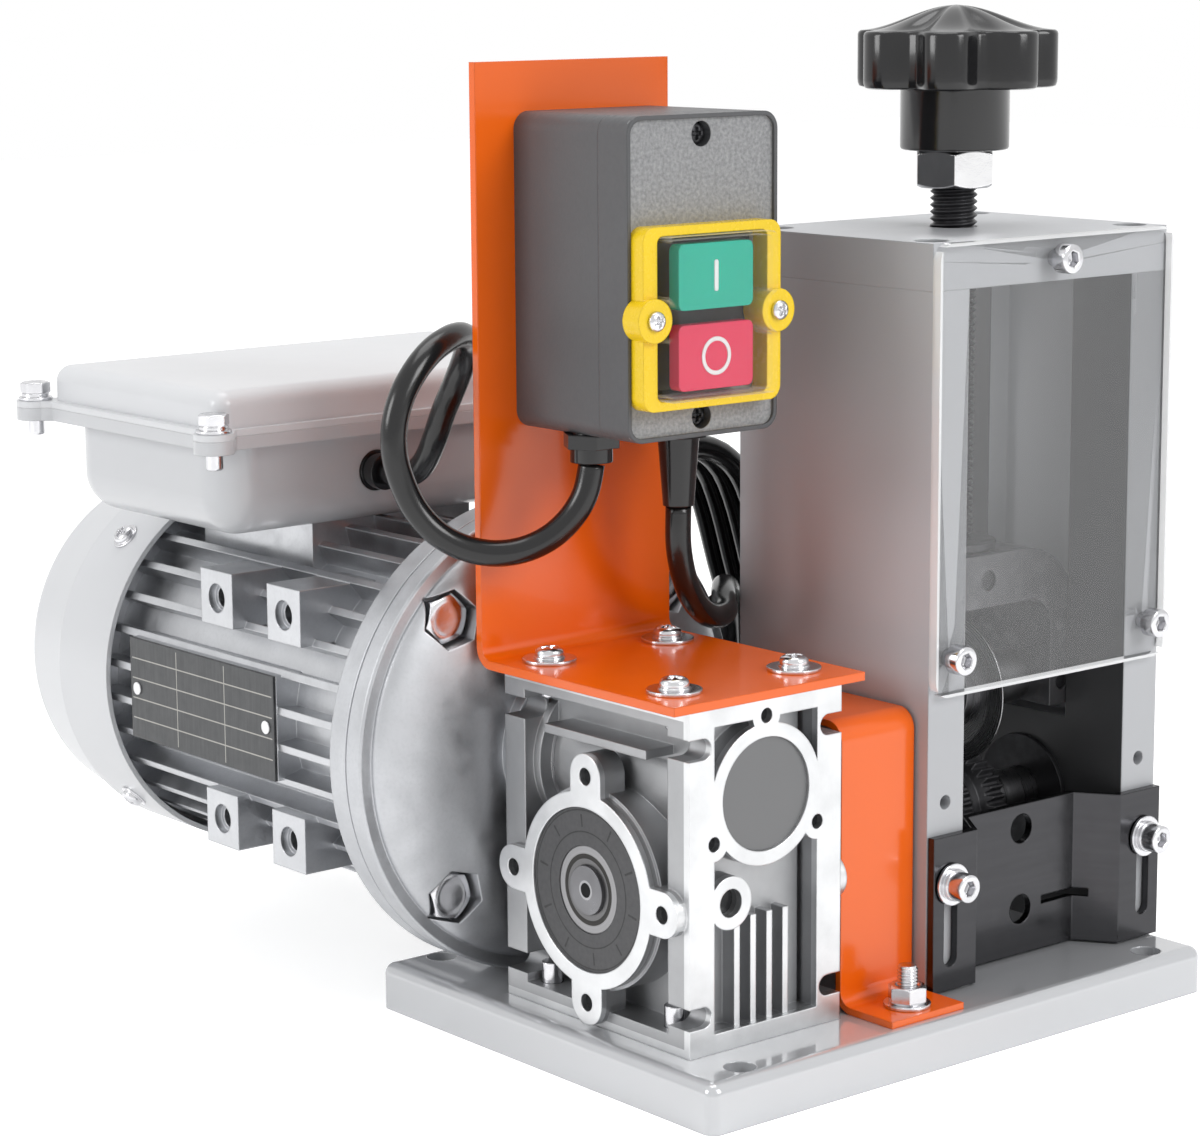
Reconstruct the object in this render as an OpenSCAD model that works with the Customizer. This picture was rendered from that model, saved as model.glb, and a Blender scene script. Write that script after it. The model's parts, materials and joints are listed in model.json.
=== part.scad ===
// Bench machine that slits the jacket of electric wire: a gear motor turns a toothed feed
// roller, and a round blade above it is lowered on the wire with the star knob.
// X runs from the gearbox to the blade tower, Y from the front to the motor, Z up.

/* [Base plate] */
// Width of the base plate
base_w = 198; // [194:1:240]
// Base plate in front of the guard's foot
base_rim = 4; // [3:0.5:20]
// Height of the folded rim
base_h = 14; // [12:1:20]
// Thickness of the folded sheet
base_t = 2.5; // [2:0.5:3]
// Outer radius of the bends and corners
base_r = 3.5; // [3:0.5:5]
// Diameter of the bench holes
base_hole_d = 9; // [5:0.5:10]
// Bench hole centre to the left or right edge
base_hole_in_x = 17; // [12:1:20]
// Bench hole centre to the front or back edge
base_hole_in_y = 8; // [8:1:12]

/* [Layout] */
// Gearbox centre, left of the middle of the plate
gear_left = 61; // [58:1:64]
// Tower centre, right of the middle of the plate
tower_right = 49.5; // [48:0.5:51]
// Roller and blade axes, in front of the middle of the plate
axis_front = 14.5; // [10:0.5:17]

/* [Gearbox] */
// Length of the gearbox along the worm
gear_l = 80; // [76:1:84]
// Height of the gearbox over its feet
gear_h = 97; // [96:1:104]
// Width over the feet
gear_w = 56; // [54:1:60]
// Width over the two output faces
gear_face_w = 63; // [62:1:70]
// Output axis above the foot
out_h = 40; // [38:1:44]
// Distance between the worm and wheel axes
centre_dist = 30; // [30:0.5:31]
// Thickness of the feet
foot_t = 5.5; // [4:0.5:8]
// Spacing of the foot holes, left to right
foot_hole_x = 44; // [42:1:45]
// Spacing of the foot holes, front to back
foot_hole_y = 54; // [50:1:56]
// Diameter of the foot holes
foot_hole_d = 6.5; // [6.5:0.1:7]
// Diameter of the output bearings and seals
out_bearing_d = 47; // [46.5:0.5:48]
// Diameter of the raised output ring
out_ring_d = 56; // [55:0.5:58]
// Circle of the threaded holes on the output faces
out_pcd = 65; // [64:0.5:67]
// Diameter of the worm end bearing and cap
worm_cap_d = 32; // [30:1:34]
// Circle of the three holes round the worm cap
worm_pcd = 44; // [42:1:46]
// Number of worm wheel teeth
wheel_teeth = 30; // [30:1:30]

/* [Motor] */
// Outer diameter of the flanges between gearbox and motor
flange_d = 140; // [138:1:140]
// Bolt circle of the flanges
flange_pcd = 115; // [110:1:118]
// Motor mounting face behind the gearbox centre
flange_y = 60; // [58:1:64]
// Diameter over the cooling fins
fin_d = 114; // [110:1:116]
// Diameter of the motor body under the fins
body_d = 100; // [98:1:104]
// Length of the finned body
body_l = 134; // [124:1:140]
// Number of fin places round the body
fin_count = 32; // [24:1:36]
// Thickness of a fin
fin_t = 2.4; // [1.5:0.1:3]
// Clearance between the fins and the fan cowl
cowl_gap = 1.9; // [1.5:0.1:4]
// Length of the fan cowl
cowl_l = 58; // [54:1:70]
// Diameter of the motor shaft in the worm
motor_shaft_d = 11; // [10:0.5:11]

/* [Terminal box] */
// Length of the lid, left to right
lid_l = 148; // [130:1:150]
// Depth of the lid, front to back
lid_d = 94; // [80:1:96]
// Height of the lid
lid_h = 13; // [10:1:18]
// Height of the tub under the lid
tub_h = 32; // [30:1:40]
// Front of the lid behind the motor face
lid_back = 55; // [55:1:64]

/* [Switch bracket and guard] */
// Width of the orange bracket
bracket_w = 70; // [68:1:72]
// Height of its upright leaf above the gearbox
bracket_h = 170; // [168:1:180]
// Thickness of the bracket sheet
bracket_t = 2.5; // [2:0.5:3]
// Width of the orange shaft guard
guard_w = 28.4; // [26:0.2:28.4]
// Height of the shaft guard above the plate
guard_h = 84; // [80:1:88]
// Thickness of the guard sheet
guard_t = 2; // [1.5:0.5:2.5]

/* [Switch box] */
// Width of the switch box
box_w = 54.5; // [54:0.5:60]
// Height of the switch box
box_h = 88.5; // [86:0.5:94]
// Depth of the switch box
box_d = 49; // [44:1:50]
// Width and height of the yellow switch frame
frame_w = 50; // [49:0.5:52]
// Travel of the start and stop buttons
button_travel = 3; // [2:0.5:3]

/* [Blade tower] */
// Width of the tower
tower_w = 97; // [96:0.5:97]
// Depth of the tower
tower_d = 80; // [76:1:80]
// Height of the side plates
side_h = 203; // [198:1:230]
// Thickness of the side plates
side_t = 14.5; // [14:0.5:15]
// Thickness of the top block
top_t = 13.4; // [12:0.2:18]
// Thickness of the clear guard
pane_t = 3; // [2:0.5:4]
// Lower edge of the clear guard above the plate
pane_z = 87.5; // [86:0.5:100]

/* [Blade, roller and adjuster] */
// Diameter of the round blade
blade_d = 46; // [44:0.5:46]
// Thickness of the blade
blade_t = 2; // [1:0.5:3]
// Diameter of the feed roller
roller_d = 32; // [31:0.5:32]
// Diameter of the shaft that carries the roller
shaft_d = 15; // [14:0.5:17]
// Width of the feed roller
roller_w = 20; // [16:1:24]
// Number of roller teeth
roller_teeth = 32; // [20:1:40]
// Depth of the wire groove in the roller
groove_deep = 3; // [2.5:0.1:3.5]
// Space between blade and groove at rest
nip = 1.2; // [1:0.1:2]
// Diameter of the adjusting screw
screw_d = 14; // [12:1:14]
// Diameter of the star knob
knob_d = 60; // [54:1:66]
// Number of knob lobes
knob_lobes = 7; // [5:1:9]
// Travel of the wire guide
guide_travel = 22; // [18:1:22]
// Height of the wire guide
guide_h = 46; // [44:1:46]

/* [Cords] */
// Diameter of the leads
cord_d = 7.5; // [7:0.1:7.6]

/* [Hidden] */

$fn = 48;
// Overrun of every cut
cut = 1;
// Clearance of parts that slide past each other
slide_gap = 0.3;
// Radial clearance of a shaft that runs in a bore
run_gap = 0.05;

// Places shared by several pieces
gear_x = -gear_left;
axis_y = -axis_front;
tower_x = tower_right;
out_z = base_h + out_h;
worm_z = out_z + centre_dist;
gear_top = base_h + gear_h;
gear_front = axis_y - gear_l / 2;
gear_back = axis_y + gear_l / 2;
face_y = axis_y + flange_y;
tower_front = axis_y - tower_d / 2;
tower_back = axis_y + tower_d / 2;
tower_left = tower_x - tower_w / 2;
side_top = base_h + side_h;
tower_top = side_top + top_t;
inner_w = tower_w - 2 * side_t;
side_mid = tower_w / 2 - side_t / 2;

// Screws, in the sizes that the machine uses
m4_d = 4;
m5_d = 5;
m6_d = 6;
m8_d = 8;
head_share = 1.7;
head_h_share = 0.9;
nut_share = 1.75;
nut_h_share = 0.8;
washer_share = 2.1;
washer_h_share = 0.2;
socket_share = 0.85;
socket_h_share = 0.5;

// Bracket leaf behind the gearbox
bracket_gap = 1.3;

// Gearbox casting
pillar_w = 9;
core_w = 36;
core_l = 66;
out_drum_d = 58;
worm_drum_d = 40;
rear_drum_d = 50;
ear_d = 13;
ear_l = 9;
worm_ear_d = 10;
worm_ear_l = 8;
tap_deep = 8;
tap6_d = 5;
tap5_d = 4.2;
wheel_room_d = 49;
wheel_room_w = 26;
bearing_w = 12;
seal_w = 6;
seal_sink = 0.8;
hub_d = 25;
shoulder = 0.5;
hub_short = 1;
bore_d = shaft_d - 2 * shoulder;
hub_l = gear_face_w - 2 * hub_short;
rear_bearing_d = 42;
rear_bearing_w = 12;
worm_tunnel_d = 23;
worm_bearing_w = 10;
cap_t = 4;
cap_sink = 1;
notch_h = 6;
notch_deep = 8;
notch_z = 11;
rib_t = 2.5;
rib_l = 44;
rib_deep = 12;
front_fin_t = 2;
front_fin_h = 36;
front_fin_x = [-9, -3, 3, 9];
boss_x = -13;
boss_z = 41.5;
boss_d = 15;
plug_d = 8;

// Worm and wheel: module follows from the centre distance
worm_pitch_d = 16.8;
wheel_pitch_d = 2 * centre_dist - worm_pitch_d;
gear_module = wheel_pitch_d / wheel_teeth;
lead = PI * gear_module;
lead_angle = atan(lead / (PI * worm_pitch_d));
addendum_share = 0.95;
dedendum_share = 1.2;
flank_share = 0.21;
tip_share = 0.11;
root_share = 0.34;
wheel_face_w = 11;
worm_thread_l = 30;
worm_rings = 18;
worm_sides = 20;
worm_shaft_d = 12;
worm_rear_d = 20;

// Input flange and motor
neck_d = 52;
neck_l = bracket_gap + bracket_t + slide_gap;
rim_t = 7;
dome_d = 132;
dome_steps = 8;
pocket_af = 17;
pocket_floor = 5;
flange_hole_d = 8.6;
spigot_d = 95;
spigot_h = 3;
coupling_d = 34;
flange_back_t = 7.5;
shield_l = 13;
shield_d = 104;
wall_t = 4.5;
stator_l = 62;
stator_in_d = 54;
stator_front = 24;
air_gap = 0.5;
winding_w = 12;
rotor_shaft_d = 15;
tail_shaft_d = 12;
bearing_out_d = 35;
bearing_t = 11;
rear_t = 9;
cowl_t = 1.6;
cowl_d = fin_d + 2 * (cowl_gap + cowl_t);
cowl_r = 8;
cowl_overlap = 10;
fan_d = 104;
fan_blades = 8;
fan_l = 22;
grille_rings = 5;
pad_off = 34.5;
pad_w = 17;
pad_x = 55;
pad_y = [31, 67];
pad_hole_d = 6;
pad_sink_d = 9;
plate_l = 80;
plate_h = 32;
plate_t = 1;
plate_y = 86;
rivet_d = 4;

// Terminal box
lid_r = 5;
tub_r = 12;
tub_in = 4;
tub_wall = 2.5;
lip_out = 2.5;
lip_t = 4;
lug_d = 12;
lug_web = 10.5;
lug_out = 3.5;
neck_w = 60;
tub_gland_left = 15;
can_d = 30;
can_l = 76;

// Sheet parts
bend_r = 6;
bracket_over = 2;
foot_l = 21;
guard_front = 4.5;
base_d = 2 * (foot_l + base_rim - gear_front - guard_front);
guard_back = 66;

// Switch
box_right = 5.7;
box_lift = 164.7;
box_x = gear_x + box_right;
box_y = gear_back + bracket_gap;
box_z = base_h + box_lift;
box_r = 5;
box_wall = 2.4;
cover_d = 12.4;
frame_lift = 34;
frame_left = 1;
frame_z = box_z + frame_lift;
frame_t = 6;
frame_r = 4;
frame_open_w = 40;
frame_open_h = 45;
ear_x = 22.4;
ear_boss_d = 12;
ear_boss_t = 8;
button_w = 27;
button_h = 18;
button_t = 4;
button_gap = 22;
stem_w = 12;
stem_h = 10;
stem_l = 9;
body_back = 30;
pane_wall = 1;
pane_out = 10.5;
box_screw_z = 5.5;
rim_h = 1;
rim_w = 1.2;
pillar_d = 9;
sunk_d = 7;
sunk_h = 5;
gland_d = 11;
lead_out = [13, 19];
lead_in = 21.5;

// Tower
rail_deep = 4;
rail_low = 66;
shaft_hole_d = 20;
tower_bearing_d = 35;
tower_bearing_t = 11;
bearing_proud = 1.5;
pane_r = 5;
pane_screw_z = 98.5;
front_tap_z = 56;
guide_screw_z = 32.4;
tower_screw_in = 8;
counterbore_d = 10;
counterbore_h = 4;

// Wire guide
guide_t = 2.5;
guide_gap = 0.7;
guide_flange = 17.5;
guide_slant = 8;
guide_deep = 11.5;
slot_low = 7;
slot_w = 5.5;
slot_h = 28;
wire_hole_d = 9;
wire_hole_share = 0.84;
wire_hole_low_share = 0.3;

// Blade, yoke and adjuster
yoke_d = 33;
yoke_web = 16;
yoke_leg = 10.6;
yoke_r = 22;
window_r = 9;
leg_below = 7;
blade_room = 4;
axle_d = 12;
bush_d = 16;
seat_t = 1;
sunk = 1;
blade_hub_d = 24;
hub_flange_t = 3;
hub_reach = 6;
edge_t = 0.3;
bevel_l = 5;
blade_z = out_z + roller_d / 2 - groove_deep + nip + blade_d / 2;
window_top = blade_z + blade_d / 2 + blade_room;
yoke_top = window_top + yoke_web;
yoke_low = blade_z - leg_below;
yoke_w = inner_w + 2 * rail_deep - 2 * slide_gap;
tip_deep = 12;
tip_d = 13;
tip_groove_d = 9;
tip_groove_h = 6;
thrust_d = 28;
thrust_t = 2.5;
knob_gap = 11.6;
jam_nut_h = 11;
jam_nut_af = 22;
knob_hub_d = 32;
knob_hub_h = 18;
knob_h = 24;
lobe_d = 17;
valley_d = 13;
dome_h = 6;
knob_low = tower_top + knob_gap + jam_nut_h;
screw_top = knob_low + knob_hub_h;

// Routes of the leads in millimetres: no bend is tighter than three cord diameters
motor_route = [
    [-74, 4, 170], [-76, 4.4, 161.8], [-79.9, 6.2, 154.9], [-85.3, 9.3, 149.5],
    [-91.8, 13.4, 146.3], [-98.7, 17.9, 145.6], [-105.5, 22.5, 147.5], [-111.5, 26.6, 151.8],
    [-116.2, 29.6, 158.2], [-119.2, 31.6, 165.8], [-121.1, 32.6, 174], [-120.7, 32.9, 182.4],
    [-117.7, 33.1, 190.3], [-112.4, 33.7, 196.9], [-105.6, 35.3, 201.6], [-98, 38, 204],
    [-90.6, 42.1, 204.2], [-84.3, 47.3, 202.3], [-79.7, 53.2, 198.5], [-77.1, 59.1, 193],
    [-76.6, 64, 186.2], [-78, 67.4, 178.6], [-78.8, 70.6, 170.9], [-78.1, 75.7, 164.2],
    [-76.9, 82.6, 159.4], [-76, 90.6, 157], [-76, 99, 157]
];
lead_route = [
    [-42, 4, 154.5], [-42, 4, 142.8], [-38.2, 5.5, 132.1], [-31.1, 8.6, 123.7],
    [-21.7, 12.9, 118.6], [-11.6, 18.3, 117.6], [-4.4, 26.9, 120.3], [4, 36.2, 120.8],
    [11.8, 42.9, 117.7], [17.7, 49.9, 110.4], [21.7, 54.2, 100.2], [24.3, 56.3, 88.9],
    [26.2, 57.3, 77.4], [27.9, 57.7, 65.8], [30, 57.8, 54.2], [33.2, 57.8, 42.9]
];
tail_route = [
    [42.4, 90.6, 24.9], [46.4, 92.8, 17.7], [50.3, 97.1, 11.5], [54, 103.1, 7], [57.2, 110.3, 4.6],
    [59.8, 118.3, 4], [62.3, 126.5, 4], [65.1, 134.4, 4], [69, 142, 4]
];
cord_sides = 8;
hank_sides = 6;
hank_loops = 4;
hank_rings = 24;
hank_r = 26;
hank_run = 50;
hank_pinch = 8;
hank_step = 8.2;
hank_tilt = 63;
hank_x = 39;
hank_y = 57.8;
hank_z = 88.8;
relief_l = 22;
relief_d = 12;
relief_tip_d = 9;
plug_l = 38;
plug_w = 26;
plug_body_h = 18;
pin_d = 4.8;
pin_l = 19;
pin_gap = 19;
plug_turn = 63;

// Rounded rectangle, centred
module round_rect(w, d, r) {
    square([w - 2 * r, d], center = true);
    square([w, d - 2 * r], center = true);
    for (x = [-1, 1], y = [-1, 1])
        translate([x * (w / 2 - r), y * (d / 2 - r)]) circle(r);
}

// Box on the XY plane whose upright edges and top edges have one radius
module soft_box(w, d, h, r) {
    linear_extrude(h - r) round_rect(w, d, r);
    translate([0, 0, h - r]) {
        translate([-w / 2 + r, -d / 2 + r, 0]) cube([w - 2 * r, d - 2 * r, r]);
        for (x = [-1, 1]) translate([x * (w / 2 - r), 0, 0])
            rotate([90, 0, 0]) cylinder(r = r, h = d - 2 * r, center = true);
        for (y = [-1, 1]) translate([0, y * (d / 2 - r), 0])
            rotate([0, 90, 0]) cylinder(r = r, h = w - 2 * r, center = true);
        for (x = [-1, 1], y = [-1, 1])
            translate([x * (w / 2 - r), y * (d / 2 - r), 0]) sphere(r);
    }
}

// Cylinder along X or along Y from its start
module along_x(d, l) rotate([0, 90, 0]) cylinder(d = d, h = l);
module along_y(d, l) rotate([-90, 0, 0]) cylinder(d = d, h = l);

// Four places of a rectangular hole pattern
module four(sx, sy) {
    for (x = [-1, 1], y = [-1, 1]) translate([x * sx / 2, y * sy / 2, 0]) children();
}

// Screw that points down from z = 0, with a head above: pan head, socket head or hexagon
module pan_screw(d, l) {
    r = d * head_share / 2;
    h = d * head_h_share * 2 / 3;
    rotate_extrude() polygon(concat([[0, -l], [d / 2, -l], [d / 2, 0]],
        [for (a = [0:15:90]) [r * cos(a), h * sin(a)]]));
}

module cap_screw(d, l) {
    translate([0, 0, -l]) cylinder(d = d, h = l + d / 2);
    difference() {
        cylinder(d = d * head_share, h = d);
        translate([0, 0, d * socket_h_share]) cylinder(d = d * socket_share, h = d, $fn = 6);
    }
}

module hex_screw(d, l) {
    translate([0, 0, -l]) cylinder(d = d, h = l + d / 2);
    cylinder(d = d * nut_share / cos(30), h = d * nut_h_share, $fn = 6);
}

module washer(d, bore) {
    difference() {
        cylinder(d = d * washer_share, h = d * washer_h_share);
        translate([0, 0, -cut]) cylinder(d = bore, h = d * washer_h_share + 2 * cut);
    }
}

module hex_nut(af, h, bore) {
    difference() {
        cylinder(d = af / cos(30), h = h, $fn = 6);
        translate([0, 0, -cut]) cylinder(d = bore, h = h + 2 * cut);
    }
}

module ring(od, id, h) {
    difference() {
        cylinder(d = od, h = h);
        translate([0, 0, -cut]) cylinder(d = id, h = h + 2 * cut);
    }
}

// Folded sheet tray, open below, with a welded sleeve round each bench hole
module base_plate() {
    color("lightgray") difference() {
        union() {
            difference() {
                soft_box(base_w, base_d, base_h, base_r);
                translate([0, 0, -cut]) linear_extrude(base_h - base_t + cut)
                    round_rect(base_w - 2 * base_t, base_d - 2 * base_t, base_r - base_t / 2);
            }
            bench_holes() cylinder(d = base_hole_d + 2 * base_t, h = base_h - base_t / 2);
        }
        translate([0, 0, -cut]) bench_holes() cylinder(d = base_hole_d, h = base_h + 2 * cut);
        translate([gear_x, axis_y, 0]) four(foot_hole_x, foot_hole_y)
            cylinder(d = foot_hole_d, h = base_h + cut);
        translate([tower_x, axis_y, 0]) four(2 * side_mid, tower_d - 2 * tower_screw_in)
            cylinder(d = m6_d, h = base_h + cut);
        translate([guard_x(), guard_bolt_y(), 0]) cylinder(d = m6_d, h = base_h + cut);
    }
}

module bench_holes() {
    four(base_w - 2 * base_hole_in_x, base_d - 2 * base_hole_in_y) children();
}

function guard_x() = (gear_x + gear_face_w / 2 + tower_left) / 2;
function guard_bolt_y() = gear_front + guard_front - foot_l / 2 - bend_r / 3;

// Cast worm gear housing with two feet, a worm drum along Y and an output drum along X
module gearbox_housing() {
    color("silver") translate([gear_x, axis_y, base_h]) difference() {
        union() {
            for (z = [0, gear_h - foot_t]) translate([-gear_w / 2, -gear_l / 2, z])
                cube([gear_w, gear_l, foot_t]);
            for (x = [-1, 1], y = [-1, 1])
                translate([x * (gear_w - pillar_w) / 2, y * (gear_l - pillar_w) / 2, gear_h / 2])
                    cube([pillar_w, pillar_w, gear_h], center = true);
            translate([-core_w / 2, -core_l / 2, 0]) cube([core_w, core_l, gear_h]);
            translate([-gear_w / 2, 0, out_h]) along_x(out_drum_d, gear_w);
            translate([-gear_face_w / 2, 0, out_h]) along_x(out_ring_d, gear_face_w);
            for (a = [0:90:270], s = [-1, 1]) translate([s * (gear_face_w - ear_l) / 2 - ear_l / 2, 0, out_h])
                rotate([a, 0, 0]) output_ear();
            translate([0, -gear_l / 2, out_h + centre_dist]) along_y(worm_drum_d, gear_l);
            translate([0, gear_l / 2 - rear_bearing_w, out_h + centre_dist])
                along_y(rear_drum_d, rear_bearing_w);
            for (a = [90, 210, 330]) translate([0, -gear_l / 2, out_h + centre_dist])
                rotate([0, -a, 0]) translate([worm_pcd / 2, 0, 0]) along_y(worm_ear_d, worm_ear_l);
            translate([boss_x, -gear_l / 2, boss_z]) along_y(boss_d, worm_ear_l + pillar_w / 2);
            for (x = front_fin_x) translate([x - front_fin_t / 2, -gear_l / 2 + front_fin_t, 0])
                cube([front_fin_t, gear_l - 2 * front_fin_t, front_fin_h]);
            for (s = [-1, 1]) translate([s * (gear_w - rib_deep) / 2, 0, out_h + centre_dist + rib_deep])
                cube([rib_deep, rib_l, rib_t], center = true);
        }
        translate([-gear_w, 0, out_h]) along_x(out_bearing_d, 2 * gear_w);
        translate([-wheel_room_w / 2, 0, out_h]) along_x(wheel_room_d, wheel_room_w);
        for (a = [0:90:270], s = [-1, 1]) translate([s * gear_face_w / 2 - tap_deep, 0, out_h])
            rotate([a, 0, 0]) translate([0, 0, out_pcd / 2]) along_x(s < 0 ? tap6_d : tap5_d, 2 * tap_deep);
        translate([0, -gear_l, out_h + centre_dist]) along_y(worm_tunnel_d, 2 * gear_l);
        translate([0, -gear_l / 2 - cut, out_h + centre_dist])
            along_y(worm_cap_d, cap_t + cap_sink + worm_bearing_w + cut);
        translate([0, gear_l / 2 - rear_bearing_w, out_h + centre_dist])
            along_y(rear_bearing_d, rear_bearing_w + cut);
        for (a = [90, 210, 330]) translate([0, -gear_l / 2 - cut, out_h + centre_dist])
            rotate([0, -a, 0]) translate([worm_pcd / 2, 0, 0]) along_y(tap5_d, tap_deep + cut);
        translate([boss_x, -gear_l / 2 - cut, boss_z]) along_y(plug_d, tap_deep + cut);
        for (z = [-cut, gear_h - foot_t - cut]) translate([0, 0, z]) four(foot_hole_x, foot_hole_y)
            cylinder(d = foot_hole_d, h = foot_t + 2 * cut);
        for (x = [-1, 1], y = [-1, 1], z = [notch_z, gear_h - notch_z])
            translate([x * gear_w / 2, y * gear_l / 2, z]) {
                cube([2 * notch_deep - notch_h, 2 * pillar_w + cut, notch_h], center = true);
                translate([x * (notch_h / 2 - notch_deep), -pillar_w - cut, 0])
                    along_y(notch_h, 2 * pillar_w + 2 * cut);
            }
    }
}

// Boss that carries one threaded hole of an output face
module output_ear() {
    translate([0, 0, out_pcd / 2]) along_x(ear_d, ear_l);
    translate([0, -ear_d / 2, out_bearing_d / 2 + tap_deep / 4])
        cube([ear_l, ear_d, (out_pcd - out_bearing_d) / 2 - tap_deep / 4]);
}

module output_seals() {
    color("dimgray") translate([gear_x, axis_y, out_z]) for (s = [0, 1]) mirror([s, 0, 0])
        translate([gear_face_w / 2 - seal_sink - seal_w, 0, 0]) rotate([0, 90, 0])
            ring(out_bearing_d, hub_d + 2 * run_gap, seal_w);
}

module output_bearings() {
    color("gray") translate([gear_x, axis_y, out_z]) for (s = [0, 1]) mirror([s, 0, 0])
        translate([gear_face_w / 2 - seal_sink - seal_w - bearing_w - slide_gap, 0, 0])
            rotate([0, 90, 0]) ring(out_bearing_d, hub_d + 2 * run_gap, bearing_w);
}

// Outline of a gear with straight flanks: each tooth has its root, flank and tip points
function wheel_points(teeth, r, m) = [
    for (i = [0:teeth - 1], k = [0:3])
        let (side = k < 2 ? -1 : 1)
        let (tip = k == 1 || k == 2)
        let (radius = r + m * (tip ? addendum_share : -dedendum_share))
        let (a = 360 / teeth * (i + side * (tip ? tip_share : root_share)))
        [radius * cos(a), radius * sin(a)]
];

// Bronze wheel on a hollow iron hub; a tooth gap faces the worm thread at rest
module worm_wheel() {
    color("goldenrod") translate([gear_x, axis_y, out_z]) rotate([0, 90, 0]) difference() {
        union() {
            rotate([0, 0, 180]) rotate([0, 0, wheel_twist() / 2])
                linear_extrude(wheel_face_w, center = true, twist = wheel_twist(), slices = 4)
                    polygon(wheel_points(wheel_teeth, wheel_pitch_d / 2, gear_module));
            translate([0, 0, -hub_l / 2]) cylinder(d = hub_d, h = hub_l);
        }
        translate([0, 0, -hub_l / 2 - cut]) cylinder(d = bore_d, h = hub_l + 2 * cut);
    }
}

function wheel_twist() = wheel_face_w * tan(lead_angle) / (wheel_pitch_d / 2) * 180 / PI;

// Section of the single thread: the radius falls from the tip to the root on both flanks
function worm_points(n) = [
    for (i = [0:n - 1])
        let (away = abs(i / n - 0.5))
        let (fall = min(1, max(0, (away - tip_share) / (root_share - tip_share))))
        let (r = worm_pitch_d / 2 + gear_module * (addendum_share - fall * (addendum_share + dedendum_share)))
        [-r * cos(360 * i / n), -r * sin(360 * i / n)]
];

// Worm with a single thread, on a shaft that is hollow at the motor end
module worm() {
    turns = worm_thread_l / lead;
    back = flange_y - flange_back_t;
    color("slategray") translate([gear_x, axis_y, worm_z]) difference() {
        union() {
            rotate([-90, 0, 0]) rotate([0, 0, 270 + 180 * turns])
                linear_extrude(worm_thread_l, center = true, twist = 360 * turns,
                    slices = ceil(turns * worm_rings), convexity = 12) polygon(worm_points(worm_sides));
            translate([0, -gear_l / 2 + cap_t + 2 * cap_sink, 0])
                along_y(worm_shaft_d, gear_l / 2 - worm_thread_l / 2 - cap_t - 2 * cap_sink + cut);
            translate([0, worm_thread_l / 2 - cut, 0])
                along_y(worm_rear_d, back - worm_thread_l / 2 + cut);
        }
        translate([0, worm_thread_l / 2 + worm_shaft_d / 2, 0]) along_y(motor_shaft_d, back);
    }
}

module worm_bearings() {
    color("gray") translate([gear_x, axis_y, worm_z]) {
        translate([0, -gear_l / 2 + cap_t + cap_sink, 0]) rotate([-90, 0, 0])
            ring(worm_cap_d, worm_shaft_d + 2 * run_gap, worm_bearing_w);
        translate([0, gear_l / 2 - rear_bearing_w, 0]) rotate([-90, 0, 0])
            ring(rear_bearing_d, worm_rear_d + 2 * run_gap, rear_bearing_w);
    }
}

module worm_end_cap() {
    color("gray") translate([gear_x, gear_front + cap_sink, worm_z]) along_y(worm_cap_d, cap_t);
}

module oil_plug() {
    color("dimgray") translate([gear_x + boss_x, gear_front + tap_deep / 2, base_h + boss_z])
        along_y(plug_d, tap_deep / 2);
}

// Screws from under the plate; their ends stand above the foot
module gearbox_screws() {
    color("gainsboro") translate([gear_x, axis_y, base_h - base_t]) four(foot_hole_x, foot_hole_y)
        rotate([180, 0, 0]) hex_screw(m6_d, base_t + foot_t + m6_d);
}

// Domed adapter between gearbox and motor, with pockets for the four bolts
module input_flange() {
    l = flange_y - gear_l / 2;
    dome = [for (i = [0:dome_steps]) let (a = 90 * i / dome_steps)
        [neck_d / 2 + (dome_d - neck_d) / 2 * sin(a), neck_l + (l - rim_t - neck_l) * (1 - cos(a))]];
    color("silver") translate([gear_x, gear_back, worm_z]) difference() {
        rotate([-90, 0, 0]) rotate_extrude() polygon(concat(
            [[coupling_d / 2, 0], [neck_d / 2, 0]], dome,
            [[flange_d / 2, l - rim_t], [flange_d / 2, l], [spigot_d / 2, l],
             [spigot_d / 2, l - spigot_h], [coupling_d / 2, l - spigot_h]]));
        for (a = [45:90:315]) rotate([0, a, 0]) translate([flange_pcd / 2, 0, 0]) {
            translate([0, -cut, 0]) rotate([-90, 30, 0])
                cylinder(d = pocket_af / cos(30), h = l - pocket_floor + cut, $fn = 6);
            along_y(flange_hole_d, l + cut);
        }
    }
}

module flange_bolts() {
    l = flange_y - gear_l / 2;
    color("slategray") translate([gear_x, gear_back + l - pocket_floor, worm_z])
        for (a = [45:90:315]) rotate([0, a, 0]) translate([flange_pcd / 2, 0, 0])
            rotate([90, 0, 0]) hex_screw(m8_d, pocket_floor + flange_back_t + m8_d);
}

// Motor end shield with its flange, spigot and bearing seat
module motor_flange() {
    color("silver") translate([gear_x, face_y, worm_z]) difference() {
        union() {
            along_y(flange_d, flange_back_t);
            along_y(shield_d, flange_back_t + shield_l);
            translate([0, -spigot_h + slide_gap / 3, 0]) along_y(spigot_d, spigot_h);
        }
        translate([0, -spigot_h - cut, 0]) along_y(coupling_d - wall_t, spigot_h + shield_l);
        translate([0, flange_back_t + shield_l - bearing_t, 0]) along_y(bearing_out_d, bearing_t + cut);
        for (a = [45:90:315]) rotate([0, a, 0]) translate([flange_pcd / 2, -cut, 0])
            along_y(m8_d, flange_back_t + 2 * cut);
    }
}

body_y = face_y + flange_back_t + shield_l;
body_end = body_y + body_l;

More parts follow.
